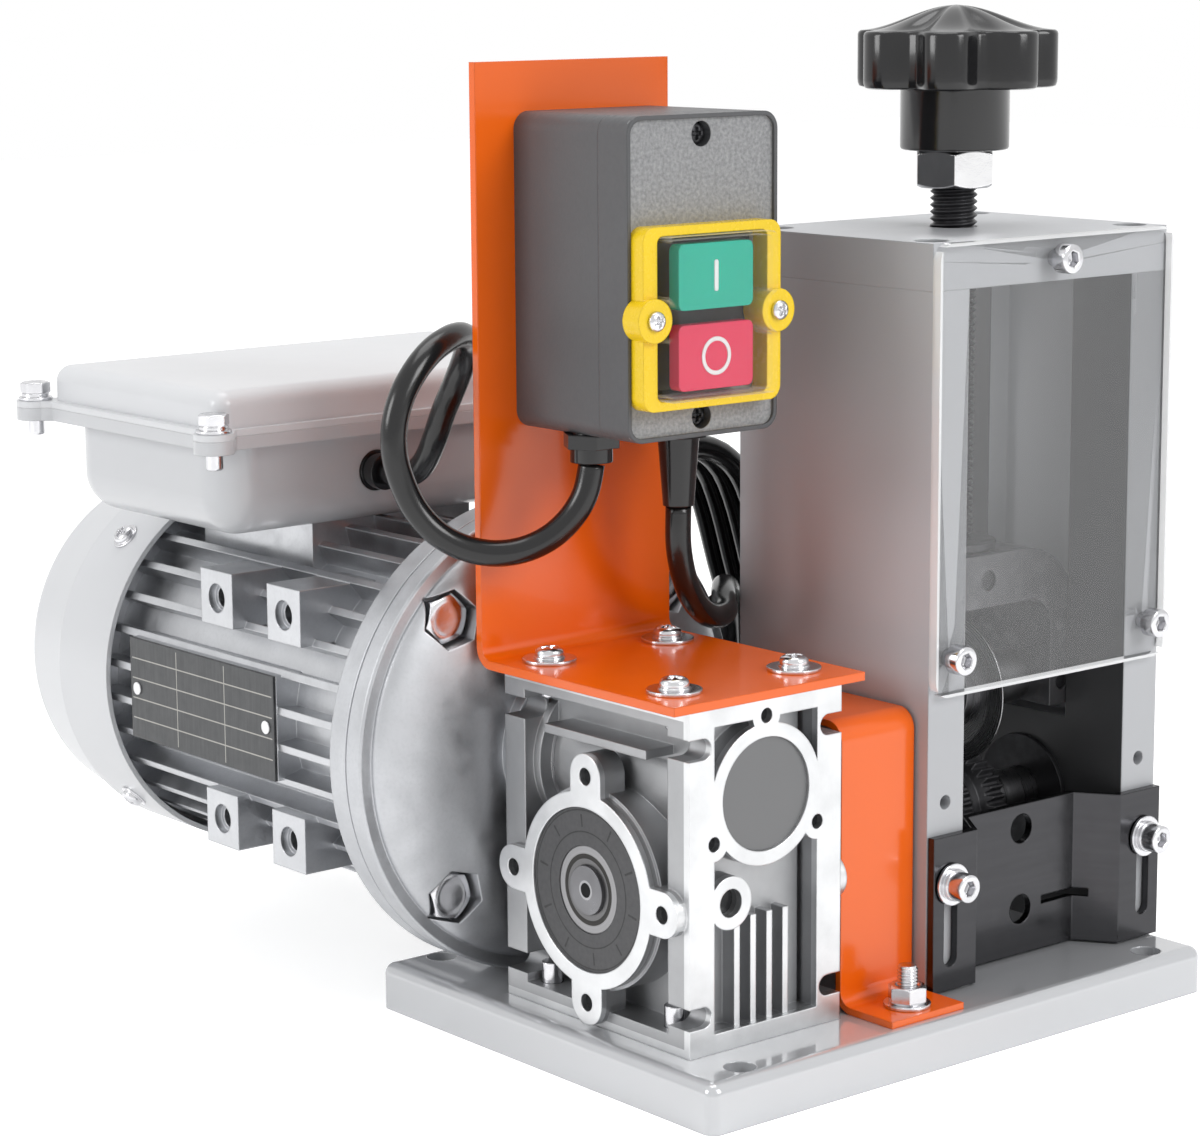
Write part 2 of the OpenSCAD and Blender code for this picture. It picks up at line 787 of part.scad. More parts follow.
// Finned motor body with pads for feet on its left side and a seat for the terminal box
module motor_body() {
    color("silver") translate([gear_x, body_y, worm_z]) difference() {
        union() {
            rotate([-90, 0, 0]) linear_extrude(body_l) {
                circle(d = body_d);
                for (i = [0:fin_count - 1]) rotate(360 / fin_count * (i + 0.5))
                    translate([(body_d - wall_t) / 2, -fin_t / 2])
                        square([(fin_d - body_d + wall_t) / 2, fin_t]);
            }
            for (y = pad_y, z = [-1, 1]) translate([-pad_x, y - pad_w / 2, z * pad_off - pad_w / 2])
                cube([pad_x / 2, pad_w, pad_w]);
            translate([-fin_d / 2, plate_y - plate_l / 2 - shield_l, -plate_h / 2])
                cube([fin_d / 4, plate_l, plate_h]);
            translate([-neck_w / 2, lid_seat_y() - body_y - neck_w / 2, 0])
                cube([neck_w, neck_w, fin_d / 2]);
        }
        translate([0, -cut, 0]) along_y(body_d - 2 * wall_t, body_l + 2 * cut);
        for (y = pad_y, z = [-1, 1]) translate([-pad_x - cut, y, z * pad_off]) {
            along_x(pad_hole_d, pad_w);
            along_x(pad_sink_d, cut + base_t);
        }
    }
}

function lid_seat_y() = face_y + lid_back + lid_d / 2;

// Laminated core and its two winding heads
module stator() {
    color("peru") translate([gear_x, body_y + stator_front, worm_z]) rotate([-90, 0, 0]) {
        ring(body_d - 2 * wall_t, stator_in_d, stator_l);
        for (z = [-winding_w, stator_l]) translate([0, 0, z])
            ring(body_d - 4 * wall_t, stator_in_d + 2 * wall_t, winding_w);
    }
}

// Cage rotor on its shaft, which reaches into the worm and carries the fan
module rotor() {
    front = axis_y + worm_thread_l / 2 + worm_shaft_d / 2 + cut;
    color("slategray") translate([gear_x, 0, worm_z]) {
        translate([0, front, 0]) along_y(motor_shaft_d, face_y + flange_back_t - front);
        translate([0, face_y + flange_back_t, 0])
            along_y(rotor_shaft_d, body_end - face_y - flange_back_t);
        translate([0, body_y + stator_front, 0]) along_y(stator_in_d - 2 * air_gap, stator_l);
        translate([0, body_end - cut, 0]) along_y(tail_shaft_d, fan_l + rear_t + 2 * cut);
    }
}

module motor_bearings() {
    color("gray") translate([gear_x, 0, worm_z]) for (y = [body_y - bearing_t, body_end - bearing_t])
        translate([0, y, 0]) rotate([-90, 0, 0])
            ring(bearing_out_d, rotor_shaft_d + 2 * run_gap, bearing_t);
}

module rear_shield() {
    color("silver") translate([gear_x, body_end - bearing_t, worm_z]) difference() {
        union() {
            along_y(body_d - 2 * wall_t, bearing_t);
            translate([0, bearing_t, 0]) along_y(fin_d, rear_t);
        }
        for (a = [45:90:315]) rotate([0, a, 0])
            translate([fin_d / 2 - base_t, bearing_t + rear_t / 2, 0]) along_x(m4_d, base_t + cut);
        translate([0, -cut, 0]) along_y(bearing_out_d, bearing_t + cut);
        along_y(tail_shaft_d + 2 * slide_gap, bearing_t + rear_t + cut);
    }
}

module fan() {
    y = body_end + rear_t + cut;
    color("dimgray") translate([gear_x, y, worm_z]) difference() {
        union() {
            along_y(fan_d, fin_t);
            along_y(bearing_out_d, fan_l);
            for (i = [0:fan_blades - 1]) rotate([0, 360 / fan_blades * i, 0])
                translate([bearing_out_d / 3, 0, -fin_t / 2])
                    cube([fan_d / 2 - bearing_out_d / 3, fan_l, fin_t]);
        }
        translate([0, -cut, 0]) along_y(tail_shaft_d, fan_l + 2 * cut);
    }
}

// Pressed cowl: a band, a smaller rounded cup and a grille of ring slots
module fan_cowl() {
    r = cowl_d / 2;
    arc = [for (a = [0:15:90]) [r - cowl_r - cowl_r / 2 + cowl_r * cos(a),
        cowl_l - cowl_r + cowl_r * sin(a)]];
    inner = [for (a = [90:-15:0]) [r - cowl_r - cowl_r / 2 + (cowl_r - cowl_t) * cos(a),
        cowl_l - cowl_r + (cowl_r - cowl_t) * sin(a)]];
    color("silver") translate([gear_x, body_end - cowl_overlap, worm_z]) difference() {
        rotate([-90, 0, 0]) rotate_extrude() polygon(concat(
            [[r - cowl_t, 0], [r, 0], [r, cowl_l / 2], [r - cowl_t / 2, cowl_l / 2 + cowl_t]],
            arc, [[0, cowl_l], [0, cowl_l - cowl_t]], inner,
            [[r - 2 * cowl_t, cowl_l / 2 + cowl_t / 2], [r - cowl_t, cowl_l / 2 - cowl_t]]));
        for (i = [1:grille_rings]) translate([0, cowl_l - 2 * cowl_t, 0]) rotate([-90, 0, 0])
            difference() {
                ring(2 * grille_r(i) + grille_pitch() / 2, 2 * grille_r(i) - grille_pitch() / 2,
                    3 * cowl_t);
                for (a = [0, 90]) rotate([0, 0, a])
                    cube([cowl_d, grille_pitch(), cowl_d], center = true);
            }
        for (a = [45:90:315]) rotate([0, a, 0]) translate([0, cowl_overlap + rear_t / 2, 0])
            along_x(m4_d, cowl_d);
    }
}

function grille_pitch() = (cowl_d / 2 - 2 * cowl_r) / (grille_rings + 1);
function grille_r(i) = grille_pitch() * (i + 0.4);

// Screws through the cowl band into the rear shield
module cowl_screws() {
    color("gainsboro") translate([gear_x, body_end + rear_t / 2, worm_z])
        for (a = [45:90:315]) rotate([0, a, 0]) translate([cowl_d / 2, 0, 0])
            rotate([0, 90, 0]) pan_screw(m4_d, cowl_t + cowl_gap + base_t);
}

module nameplate() {
    color("dimgray") translate([gear_x - fin_d / 2 - plate_t, body_y + plate_y - shield_l, worm_z]) {
        translate([0, -plate_l / 2, -plate_h / 2]) cube([plate_t, plate_l, plate_h]);
        for (y = [-1, 1]) translate([-plate_t / 2, y * (plate_l / 2 - rivet_d), 0])
            along_x(rivet_d, plate_t);
    }
}

tub_z = worm_z + fin_d / 2;
lid_z = tub_z + tub_h;

// Tub of the terminal box, rounded below, with corner lugs
module terminal_tub() {
    w = lid_l - 2 * tub_in;
    d = lid_d - 2 * tub_in;
    color("gainsboro") translate([gear_x, lid_seat_y(), tub_z]) difference() {
        union() {
            translate([0, 0, tub_h]) mirror([0, 0, 1]) soft_box(w, d, tub_h, tub_r);
            translate([0, 0, tub_h - lip_t]) lip();
        }
        translate([0, 0, tub_h + cut]) mirror([0, 0, 1])
            soft_box(w - 2 * tub_wall, d - 2 * tub_wall, tub_h - tub_wall + cut, tub_r - tub_wall);
        translate([0, 0, tub_h - lip_t - cut]) lug_places() cylinder(d = m5_d, h = lip_t + 2 * cut);
        translate([-tub_gland_left, -d / 2 - cut, tub_h / 2])
            along_y(cord_d + 2 * tub_wall, tub_wall + 2 * cut);
    }
}

module lug_places() {
    four(lid_l + 2 * lug_out, lid_d + 2 * lug_out) children();
}

// Flat lip with a lug at each corner, shared by tub and lid
module lip() {
    linear_extrude(lip_t) {
        round_rect(lid_l + 2 * lip_out, lid_d + 2 * lip_out, lid_r + lip_out);
        for (x = [-1, 1], y = [-1, 1])
            translate([x * (lid_l / 2 + lug_out), y * (lid_d / 2 + lug_out)]) {
                circle(d = lug_d);
                rotate(atan2(y, x)) translate([-lug_d, -lug_web / 2]) square([lug_d, lug_web]);
            }
    }
}

module terminal_lid() {
    color("gainsboro") translate([gear_x, lid_seat_y(), lid_z]) difference() {
        union() {
            soft_box(lid_l, lid_d, lid_h, lid_r);
            scale([1, 1, 1 / 2]) lip();
        }
        translate([0, 0, -cut])
            soft_box(lid_l - 2 * tub_wall, lid_d - 2 * tub_wall, lid_h - tub_wall + cut,
                lid_r - tub_wall / 2);
        translate([0, 0, -cut]) lug_places() cylinder(d = m5_d, h = lid_h + 2 * cut);
    }
}

module lid_screws() {
    color("silver") translate([gear_x, lid_seat_y(), lid_z + lip_t / 2]) lug_places() {
        washer(m5_d, m5_d / 2);
        translate([0, 0, m5_d * washer_h_share]) hex_screw(m5_d, 2 * lip_t + m5_d);
    }
}

module capacitor() {
    color("dimgray") translate([gear_x - can_l / 2, lid_seat_y(), tub_z + tub_wall + can_d / 2])
        along_x(can_d, can_l);
}

// Bent strip in the YZ plane, carried along X: a leaf, a bend and a second leaf
module bend(t, r, a0) {
    intersection() {
        difference() {
            circle(r);
            circle(r - t);
        }
        rotate(a0) square(r + cut);
    }
}

// Orange bracket: a leaf on the gearbox and an upright leaf behind the switch
module switch_bracket() {
    front = gear_front - bracket_over;
    back = gear_back + bracket_gap + bracket_t;
    color("orangered") translate([gear_x - bracket_w / 2, 0, gear_top]) difference() {
        rotate([90, 0, 90]) linear_extrude(bracket_w) {
            translate([front, 0]) square([back - front - bend_r, bracket_t]);
            translate([back - bracket_t, bend_r]) square([bracket_t, bracket_h - bend_r]);
            translate([back - bend_r, bend_r]) bend(bracket_t, bend_r, 270);
        }
        translate([bracket_w / 2, axis_y, -cut]) four(foot_hole_x, foot_hole_y)
            cylinder(d = m6_d, h = bracket_t + 2 * cut);
        for (z = [-1, 1]) translate([bracket_w / 2 + box_right, back - bracket_t - cut,
            box_z + box_h / 2 + z * box_h / 4 - gear_top]) along_y(m4_d, bracket_t + 2 * cut);
    }
}

module bracket_screws() {
    color("silver") translate([gear_x, axis_y, gear_top + bracket_t]) four(foot_hole_x, foot_hole_y) {
        washer(m6_d, m6_d / 2);
        translate([0, 0, m6_d * washer_h_share]) pan_screw(m6_d, bracket_t + foot_t + m6_d / 2);
    }
}

// Orange cover over the shaft between gearbox and tower
module shaft_guard() {
    front = gear_front + guard_front;
    color("orangered") translate([guard_x() - guard_w / 2, 0, base_h]) difference() {
        rotate([90, 0, 90]) linear_extrude(guard_w) {
            translate([front - foot_l, 0]) square([foot_l + guard_t - bend_r, guard_t]);
            translate([front + guard_t - bend_r, bend_r]) bend(guard_t, bend_r, 270);
            translate([front, bend_r]) square([guard_t, guard_h - 2 * bend_r]);
            translate([front + bend_r, guard_h - bend_r]) bend(guard_t, bend_r, 90);
            translate([front + bend_r, guard_h - guard_t]) square([guard_back - bend_r, guard_t]);
        }
        translate([guard_w / 2, guard_bolt_y(), -cut]) cylinder(d = m6_d, h = guard_t + 2 * cut);
    }
}

// Stud, nut and washer that hold the guard's foot
module guard_fastener() {
    color("silver") translate([guard_x(), guard_bolt_y(), base_h]) {
        translate([0, 0, guard_t]) washer(m6_d, m6_d / 2);
        translate([0, 0, guard_t + m6_d * washer_h_share])
            cylinder(d = m6_d * nut_share / cos(30), h = m6_d * nut_h_share, $fn = 6);
        translate([0, 0, -base_t]) cylinder(d = m6_d, h = base_t + guard_t + 2 * m6_d);
        translate([0, 0, -base_t]) rotate([180, 0, 0])
            cylinder(d = m6_d * nut_share / cos(30), h = m6_d * nut_h_share, $fn = 6);
    }
}

// Back half of the switch box, open to the front, with two screw pillars
module switch_box_base() {
    l = box_d - cover_d;
    color("#3a3a3c") translate([box_x, box_y, box_z + box_h / 2]) rotate([90, 0, 0]) difference() {
        union() {
            difference() {
                linear_extrude(l) round_rect(box_w, box_h, box_r);
                translate([0, 0, box_wall]) linear_extrude(l)
                    round_rect(box_w - 2 * box_wall, box_h - 2 * box_wall, box_r - box_wall / 2);
            }
            box_screw_places() cylinder(d = pillar_d, h = l);
        }
        for (x = lead_x) translate([x - box_x, -box_h / 2 - cut, box_y - lead_y])
            rotate([-90, 0, 0]) cylinder(d = gland_d, h = box_wall + 2 * cut);
        for (z = [-1, 1]) translate([0, z * box_h / 4, -cut]) cylinder(d = m4_d, h = box_wall + 2 * cut);
        box_screw_places() translate([0, 0, l - cover_d]) cylinder(d = m4_d, h = cover_d + cut);
    }
}

module box_screw_places() {
    for (z = [-1, 1]) translate([0, z * (box_h / 2 - box_screw_z), 0]) children();
}

// Front half with a raised rim, the switch opening and two sunk screw places
module switch_box_cover() {
    color("#4a4a4c") translate([box_x, box_y - box_d + cover_d, box_z + box_h / 2])
        rotate([90, 0, 0]) difference() {
            union() {
                difference() {
                    linear_extrude(cover_d) round_rect(box_w, box_h, box_r);
                    translate([0, 0, -cut]) linear_extrude(cover_d - box_wall - rim_h + cut)
                        round_rect(box_w - 2 * box_wall, box_h - 2 * box_wall, box_r - box_wall / 2);
                }
                box_screw_places() cylinder(d = pillar_d, h = cover_d - rim_h);
            }
            translate([0, 0, cover_d - rim_h]) linear_extrude(rim_h + cut)
                round_rect(box_w - 2 * rim_w, box_h - 2 * rim_w, box_r - rim_w);
            translate([frame_x - box_x, frame_z - box_z - box_h / 2, 0])
                cube([frame_open_w - box_wall, frame_open_h - box_wall, 3 * cover_d], center = true);
            for (x = [-1, 1]) translate([frame_x - box_x + x * ear_x, frame_z - box_z - box_h / 2, 0])
                cylinder(d = m4_d, h = cover_d);
            box_screw_places() {
                translate([0, 0, -cut]) cylinder(d = m4_d, h = cover_d + 2 * cut);
                translate([0, 0, cover_d - sunk_h]) cylinder(d = sunk_d, h = sunk_h + cut);
            }
        }
}

frame_x = box_x - frame_left;
box_front = box_y - box_d + rim_h;
lead_x = [gear_x - lead_out[0], gear_x + lead_out[1]];
lead_y = gear_back - lead_in;

// Switch block behind the buttons, with two guide wells
module switch_body() {
    w = frame_open_w - 2 * box_wall;
    h = frame_open_h - 2 * box_wall;
    color("#222222") translate([frame_x, box_front, frame_z]) difference() {
        translate([-w / 2, 0, -h / 2]) cube([w, body_back, h]);
        for (z = [-1, 1]) translate([0, -cut, z * button_gap / 2]) {
            translate([-stem_w / 2 - slide_gap, 0, -stem_h / 2 - slide_gap])
                cube([stem_w + 2 * slide_gap, stem_l + button_travel + slide_gap + cut,
                    stem_h + 2 * slide_gap]);
        }
    }
}

// Yellow surround with a screw boss on each side
module switch_frame() {
    color("gold") translate([frame_x, box_front, frame_z]) rotate([90, 0, 0]) difference() {
        union() {
            linear_extrude(frame_t) round_rect(frame_w, frame_w, frame_r);
            for (x = [-1, 1]) translate([x * ear_x, 0, rim_h + slide_gap])
                cylinder(d = ear_boss_d, h = ear_boss_t - rim_h - slide_gap);
        }
        translate([0, 0, -cut]) linear_extrude(frame_t + ear_boss_t)
            difference() {
                round_rect(frame_open_w, frame_open_h, frame_r / 2);
                for (x = [-1, 1]) translate([x * ear_x, 0]) circle(d = ear_boss_d);
            }
        for (x = [-1, 1]) translate([x * ear_x, 0, -cut]) cylinder(d = m4_d, h = ear_boss_t + 2 * cut);
    }
}

// Clear soft cover over both buttons, seated in the frame's opening
module switch_pane() {
    w = frame_open_w - slide_gap;
    h = frame_open_h - slide_gap;
    l = pane_out - frame_t / 2;
    color("white", 0.3) translate([frame_x, box_front - frame_t / 2, frame_z]) rotate([90, 0, 0])
        difference() {
            linear_extrude(l) pane_outline(w, h, 0);
            translate([0, 0, -cut]) linear_extrude(l - pane_wall + cut)
                pane_outline(w - 2 * pane_wall, h - 2 * pane_wall, pane_wall);
        }
}

module pane_outline(w, h, more) {
    difference() {
        round_rect(w, h, frame_r / 2);
        for (x = [-1, 1]) translate([x * ear_x, 0]) circle(d = ear_boss_d + 2 * slide_gap + 2 * more);
    }
}

module push_button(z) {
    translate([frame_x, box_front, frame_z + z * button_gap / 2]) {
        translate([0, -button_travel - slide_gap, 0]) rotate([90, 0, 0])
            linear_extrude(button_t) round_rect(button_w, button_h, frame_r / 2);
        translate([-stem_w / 2, -button_travel - 2 * slide_gap, -stem_h / 2])
            cube([stem_w, stem_l + button_travel + slide_gap, stem_h]);
    }
}

module start_button() color("#12b38a") push_button(1);
module stop_button() color("#e8385c") push_button(-1);

// Screws of the switch frame, of the box cover and of the box on its bracket
module switch_screws() {
    color("silver") {
        for (x = [-1, 1]) translate([frame_x + x * ear_x, box_front - ear_boss_t, frame_z])
            rotate([90, 0, 0]) pan_screw(m4_d, ear_boss_t + box_wall);
        translate([box_x, box_front - rim_h + sunk_h, box_z + box_h / 2]) rotate([90, 0, 0])
            box_screw_places() pan_screw(m4_d, 2 * cover_d - sunk_h);
        for (z = [-1, 1]) translate([box_x, box_y - box_wall, box_z + box_h / 2 + z * box_h / 4])
            rotate([90, 0, 0]) pan_screw(m4_d, box_wall + bracket_t + m4_d / 2);
    }
}

// Side plate of the tower; s is 1 for the inner rail on the right of the plate, else -1
module side_plate(s) {
    bolt_y = tower_d / 2 - tower_screw_in;
    translate([tower_x - s * side_mid, axis_y, base_h]) difference() {
        translate([-side_t / 2, -tower_d / 2, 0]) cube([side_t, tower_d, side_h]);
        translate([s * (side_t / 2 - rail_deep) - (s < 0 ? rail_deep + cut : 0),
            -yoke_d / 2 - slide_gap, rail_low])
            cube([rail_deep + cut + (s < 0 ? rail_deep : 0), yoke_d + 2 * slide_gap, side_h]);
        translate([-side_t, 0, out_h]) along_x(shaft_hole_d, 2 * side_t);
        translate([s > 0 ? side_t / 2 - bearing_seat() : -side_t, 0, out_h])
            along_x(tower_bearing_d, s > 0 ? side_t : side_t / 2 + bearing_seat());
        for (y = [-1, 1]) translate([0, y * bolt_y, -cut]) {
            cylinder(d = tap6_d, h = 2 * m6_d + cut);
            translate([0, 0, side_h - 2 * m6_d]) cylinder(d = tap6_d, h = 2 * m6_d + 2 * cut);
        }
        for (z = [guide_screw_z, front_tap_z, pane_screw_z]) translate([0, -tower_d / 2 - cut, z])
            along_y(z == front_tap_z ? tap5_d : m5_d, 2 * m5_d + cut);
    }
}

function bearing_seat() = tower_bearing_t - bearing_proud;

module left_side_plate() color("darkgray") side_plate(1);
module right_side_plate() color("darkgray") side_plate(-1);

module top_block() {
    color("darkgray") translate([tower_x, axis_y, side_top]) difference() {
        translate([-tower_w / 2, -tower_d / 2, 0]) cube([tower_w, tower_d, top_t]);
        translate([0, 0, -cut]) cylinder(d = screw_d + 2 * run_gap, h = top_t + 2 * cut);
        translate([0, 0, -cut]) four(2 * side_mid, tower_d - 2 * tower_screw_in) {
            cylinder(d = m6_d, h = top_t + 2 * cut);
            translate([0, 0, top_t - counterbore_h + cut])
                cylinder(d = counterbore_d, h = counterbore_h + cut);
        }
        translate([0, -tower_d / 2 - cut, top_t / 2]) along_y(m5_d, 2 * m5_d + cut);
    }
}

// Cap screws in the top block and screws from under the plate
module tower_screws() {
    color("slategray") translate([tower_x, axis_y, 0]) {
        translate([0, 0, tower_top - counterbore_h]) four(2 * side_mid, tower_d - 2 * tower_screw_in)
            scale([1, 1, 2 / 3]) cap_screw(tap6_d, 2 * top_t);
        translate([0, 0, base_h - base_t]) four(2 * side_mid, tower_d - 2 * tower_screw_in)
            rotate([180, 0, 0]) hex_screw(tap6_d, base_t + m6_d);
    }
}

// Clear pane in front of the tower, with its three screw holes
module clear_guard() {
    h = tower_top - base_h - pane_z;
    color("white", 0.25) translate([tower_x, tower_front - pane_t, base_h + pane_z + h / 2])
        rotate([-90, 0, 0]) difference() {
            linear_extrude(pane_t) round_rect(tower_w, h, pane_r);
            for (p = pane_screw_places()) translate([p[0], -(p[1] - pane_z - h / 2), -cut])
                cylinder(d = m5_d, h = pane_t + 2 * cut);
        }
}

function pane_screw_places() = [[0, side_h + top_t / 2], [-side_mid, pane_screw_z], [side_mid, pane_screw_z]];

module guard_screws() {
    color("silver") for (p = pane_screw_places())
        translate([tower_x + p[0], tower_front - pane_t, base_h + p[1]])
            rotate([90, 0, 0]) cap_screw(m5_d, pane_t + m5_d);
}

// Black guide bent from sheet: slotted flanges on the tower and a wire plate set back between
module wire_guide() {
    half = tower_w / 2 - slide_gap;
    edge = half - guide_flange;
    low = edge - guide_slant;
    outline = [[-half, 0], [-edge, 0], [-low, guide_deep], [low, guide_deep], [edge, 0], [half, 0]];
    color("#1c1c1e") translate([tower_x, tower_front - slide_gap - guide_t, base_h + guide_gap])
        difference() {
            linear_extrude(guide_h) polygon(concat(outline,
                [for (i = [5:-1:0]) outline[i] + [0, guide_t]]));
            for (s = [-1, 1]) translate([s * side_mid, 0, slot_low]) slot(slot_w, slot_h, 3 * guide_t);
            translate([0, guide_deep + guide_t / 2, 0]) {
                translate([0, -2 * guide_t, guide_h * wire_hole_share]) along_y(wire_hole_d, 4 * guide_t);
                translate([0, -2 * guide_t, guide_h * wire_hole_low_share]) along_y(wire_hole_d, 4 * guide_t);
                translate([low * 2 / 5, -2 * guide_t, guide_h * wire_hole_low_share])
                    cube([low, 4 * guide_t, guide_t]);
            }
        }
}

// Upright slot from its lower end, cut along Y
module slot(w, h, l) {
    translate([-w / 2, -l, w / 2]) cube([w, 2 * l, h - w]);
    for (z = [w / 2, h - w / 2]) translate([0, -l, z]) along_y(w, 2 * l);
}

module guide_screws() {
    color("silver") for (s = [-1, 1])
        translate([tower_x + s * side_mid, tower_front - 2 * slide_gap - guide_t, base_h + guide_screw_z])
            rotate([90, 0, 0]) {
                washer(m5_d, m5_d / 2);
                translate([0, 0, m5_d * washer_h_share])
                    cap_screw(m5_d, 2 * m5_d + guide_t);
            }
}

// Shaft from the hollow gearbox hub through both tower bearings
module output_shaft() {
    left = gear_x - gear_face_w / 2;
    neck = gear_x + gear_face_w / 2 + cut;
    right = tower_x + tower_w / 2 - side_t + bearing_seat();
    color("silver") translate([0, axis_y, out_z]) {
        translate([left, 0, 0]) along_x(bore_d, neck - left);
        translate([neck, 0, 0]) along_x(shaft_d, right - neck);
    }
}

module shaft_bearings() {
    color("dimgray") translate([tower_x, axis_y, out_z]) for (s = [0, 1]) mirror([s, 0, 0])
        translate([inner_w / 2 - bearing_proud, 0, 0]) rotate([0, 90, 0])
            ring(tower_bearing_d, shaft_d + 2 * run_gap, tower_bearing_t);
}

// Toothed roller with a groove for the wire and a collar
module feed_roller() {
    r = roller_d / 2;
    color("#2a2a2c") translate([tower_x, axis_y, out_z]) rotate([0, 90, 0]) difference() {
        translate([0, 0, -roller_w / 2]) linear_extrude(roller_w) polygon([
            for (i = [0:roller_teeth - 1], k = [0:3])
                let (a = 360 / roller_teeth * (i + tooth_turn_shares[k]))
                let (q = k == 1 || k == 2 ? r : r - tooth_deep)
                [q * cos(a), q * sin(a)]]);
        rotate_extrude() polygon([[r + groove_deep, -groove_w], [r + groove_deep, groove_w],
            [r - groove_deep, groove_low_w / 2], [r - groove_deep, -groove_low_w / 2]]);
        translate([0, 0, -roller_w]) cylinder(d = shaft_d, h = 2 * roller_w);
    }
}

tooth_turn_shares = [0.05, 0.3, 0.5, 0.75];
tooth_deep = 1.6;
groove_w = 8;
groove_low_w = 3;

// Fork that carries the blade and slides in the rails of both side plates
module blade_yoke() {
    h = yoke_top - yoke_low;
    open_w = yoke_w - 2 * yoke_leg;
    color("gray") translate([tower_x, axis_y, 0]) difference() {
        translate([0, yoke_d / 2, yoke_low]) rotate([90, 0, 0]) linear_extrude(yoke_d) difference() {
            union() {
                translate([-yoke_w / 2, 0]) square([yoke_w, h - yoke_r]);
                translate([-yoke_w / 2 + yoke_r, 0]) square([yoke_w - 2 * yoke_r, h]);
                for (s = [-1, 1]) translate([s * (yoke_w / 2 - yoke_r), h - yoke_r]) circle(yoke_r);
            }
            translate([-open_w / 2, -cut]) square([open_w, window_top - yoke_low - window_r + cut]);
            translate([-open_w / 2 + window_r, -cut])
                square([open_w - 2 * window_r, window_top - yoke_low + cut]);
            for (s = [-1, 1]) translate([s * (open_w / 2 - window_r), window_top - yoke_low - window_r])
                circle(window_r);
        }
        translate([-yoke_w, 0, blade_z]) along_x(axle_d, 2 * yoke_w);
        translate([0, 0, yoke_top - tip_deep - slide_gap])
            cylinder(d = tip_d + 2 * run_gap, h = 2 * tip_deep);
        translate([0, -yoke_d / 2 - cut, tip_z()]) along_y(m6_d, yoke_d / 2);
        for (s = [-1, 1]) translate([s * (yoke_w - yoke_leg) / 2, -yoke_d / 2 - cut, blade_z])
            along_y(m5_d, yoke_d / 2);
    }
}

function tip_z() = yoke_top - tip_deep + tip_groove_h / 2 + sunk;

// Set screws: one holds the adjuster's tip, two hold the axle
module yoke_screws() {
    color("dimgray") translate([tower_x, axis_y, 0]) {
        translate([0, -yoke_d / 2 + sunk, tip_z()])
            along_y(m6_d, yoke_d / 2 - sunk - tip_groove_d / 2 - slide_gap);
        for (s = [-1, 1]) translate([s * (yoke_w - yoke_leg) / 2, -yoke_d / 2 + sunk, blade_z])
            along_y(m5_d, yoke_d / 2 - sunk - axle_d / 2);
    }
}

// Axle with a spacer on each side of the blade hub
module blade_axle() {
    open_w = yoke_w - 2 * yoke_leg;
    color("silver") translate([tower_x, axis_y, blade_z]) {
        translate([sunk - yoke_w / 2, 0, 0]) along_x(axle_d, yoke_w - 2 * sunk);
        for (s = [0, 1]) mirror([s, 0, 0]) translate([hub_reach + slide_gap, 0, 0])
            along_x(bush_d, open_w / 2 - hub_reach - slide_gap);
    }
}

// Round blade, ground from both sides to a thin edge
module blade() {
    r = blade_d / 2;
    seat = bush_d / 2 + seat_t;
    color("gainsboro") translate([tower_x, axis_y, blade_z]) rotate([0, 90, 0]) rotate_extrude()
        polygon([[seat, -blade_t / 2], [r - bevel_l, -blade_t / 2], [r, -edge_t / 2],
            [r, edge_t / 2], [r - bevel_l, blade_t / 2], [seat, blade_t / 2]]);
}

// Flanged hub in two halves that clamp the blade
module blade_hub() {
    color("silver") translate([tower_x, axis_y, blade_z]) difference() {
        union() {
            translate([-hub_reach, 0, 0]) along_x(bush_d + 2 * seat_t, 2 * hub_reach);
            for (s = [0, 1]) mirror([s, 0, 0]) translate([blade_t / 2, 0, 0])
                along_x(blade_hub_d, hub_flange_t);
        }
        translate([-2 * hub_reach, 0, 0]) along_x(axle_d + 2 * run_gap, 4 * hub_reach);
    }
}

// Screw that lifts and lowers the yoke, with its thrust washer and jam nut
module adjusting_screw() {
    low = yoke_top - tip_deep;
    color("#2c2c2e") translate([tower_x, axis_y, 0]) {
        difference() {
            translate([0, 0, low]) cylinder(d = tip_d, h = tip_deep + slide_gap);
            translate([0, 0, tip_z() - tip_groove_h / 2]) ring(2 * tip_d, tip_groove_d, tip_groove_h);
        }
        translate([0, 0, yoke_top + slide_gap]) cylinder(d = thrust_d, h = thrust_t);
        translate([0, 0, yoke_top + slide_gap]) cylinder(d = screw_d, h = screw_top - yoke_top - slide_gap);
        translate([0, 0, tower_top + knob_gap])
            cylinder(d = jam_nut_af / cos(30), h = jam_nut_h, $fn = 6);
    }
}

// Star knob: a hub, round lobes with hollows between them and a domed top
module star_knob() {
    lobe_r = (knob_d - lobe_d) / 2;
    color("#18181a") translate([tower_x, axis_y, knob_low]) difference() {
        union() {
            cylinder(d = knob_hub_d, h = knob_hub_h + cut);
            translate([0, 0, knob_hub_h]) intersection() {
                linear_extrude(knob_h) difference() {
                    union() {
                        circle(lobe_r + lobe_d / 5);
                        for (i = [0:knob_lobes - 1]) rotate(360 / knob_lobes * i)
                            translate([lobe_r, 0]) circle(d = lobe_d);
                    }
                    for (i = [0:knob_lobes - 1]) rotate(360 / knob_lobes * (i + 0.5))
                        translate([knob_d / 2, 0]) circle(d = valley_d);
                }
                rotate_extrude() polygon(knob_profile());
            }
        }
        translate([0, 0, -cut]) cylinder(d = screw_d, h = knob_hub_h + cut);
    }
}

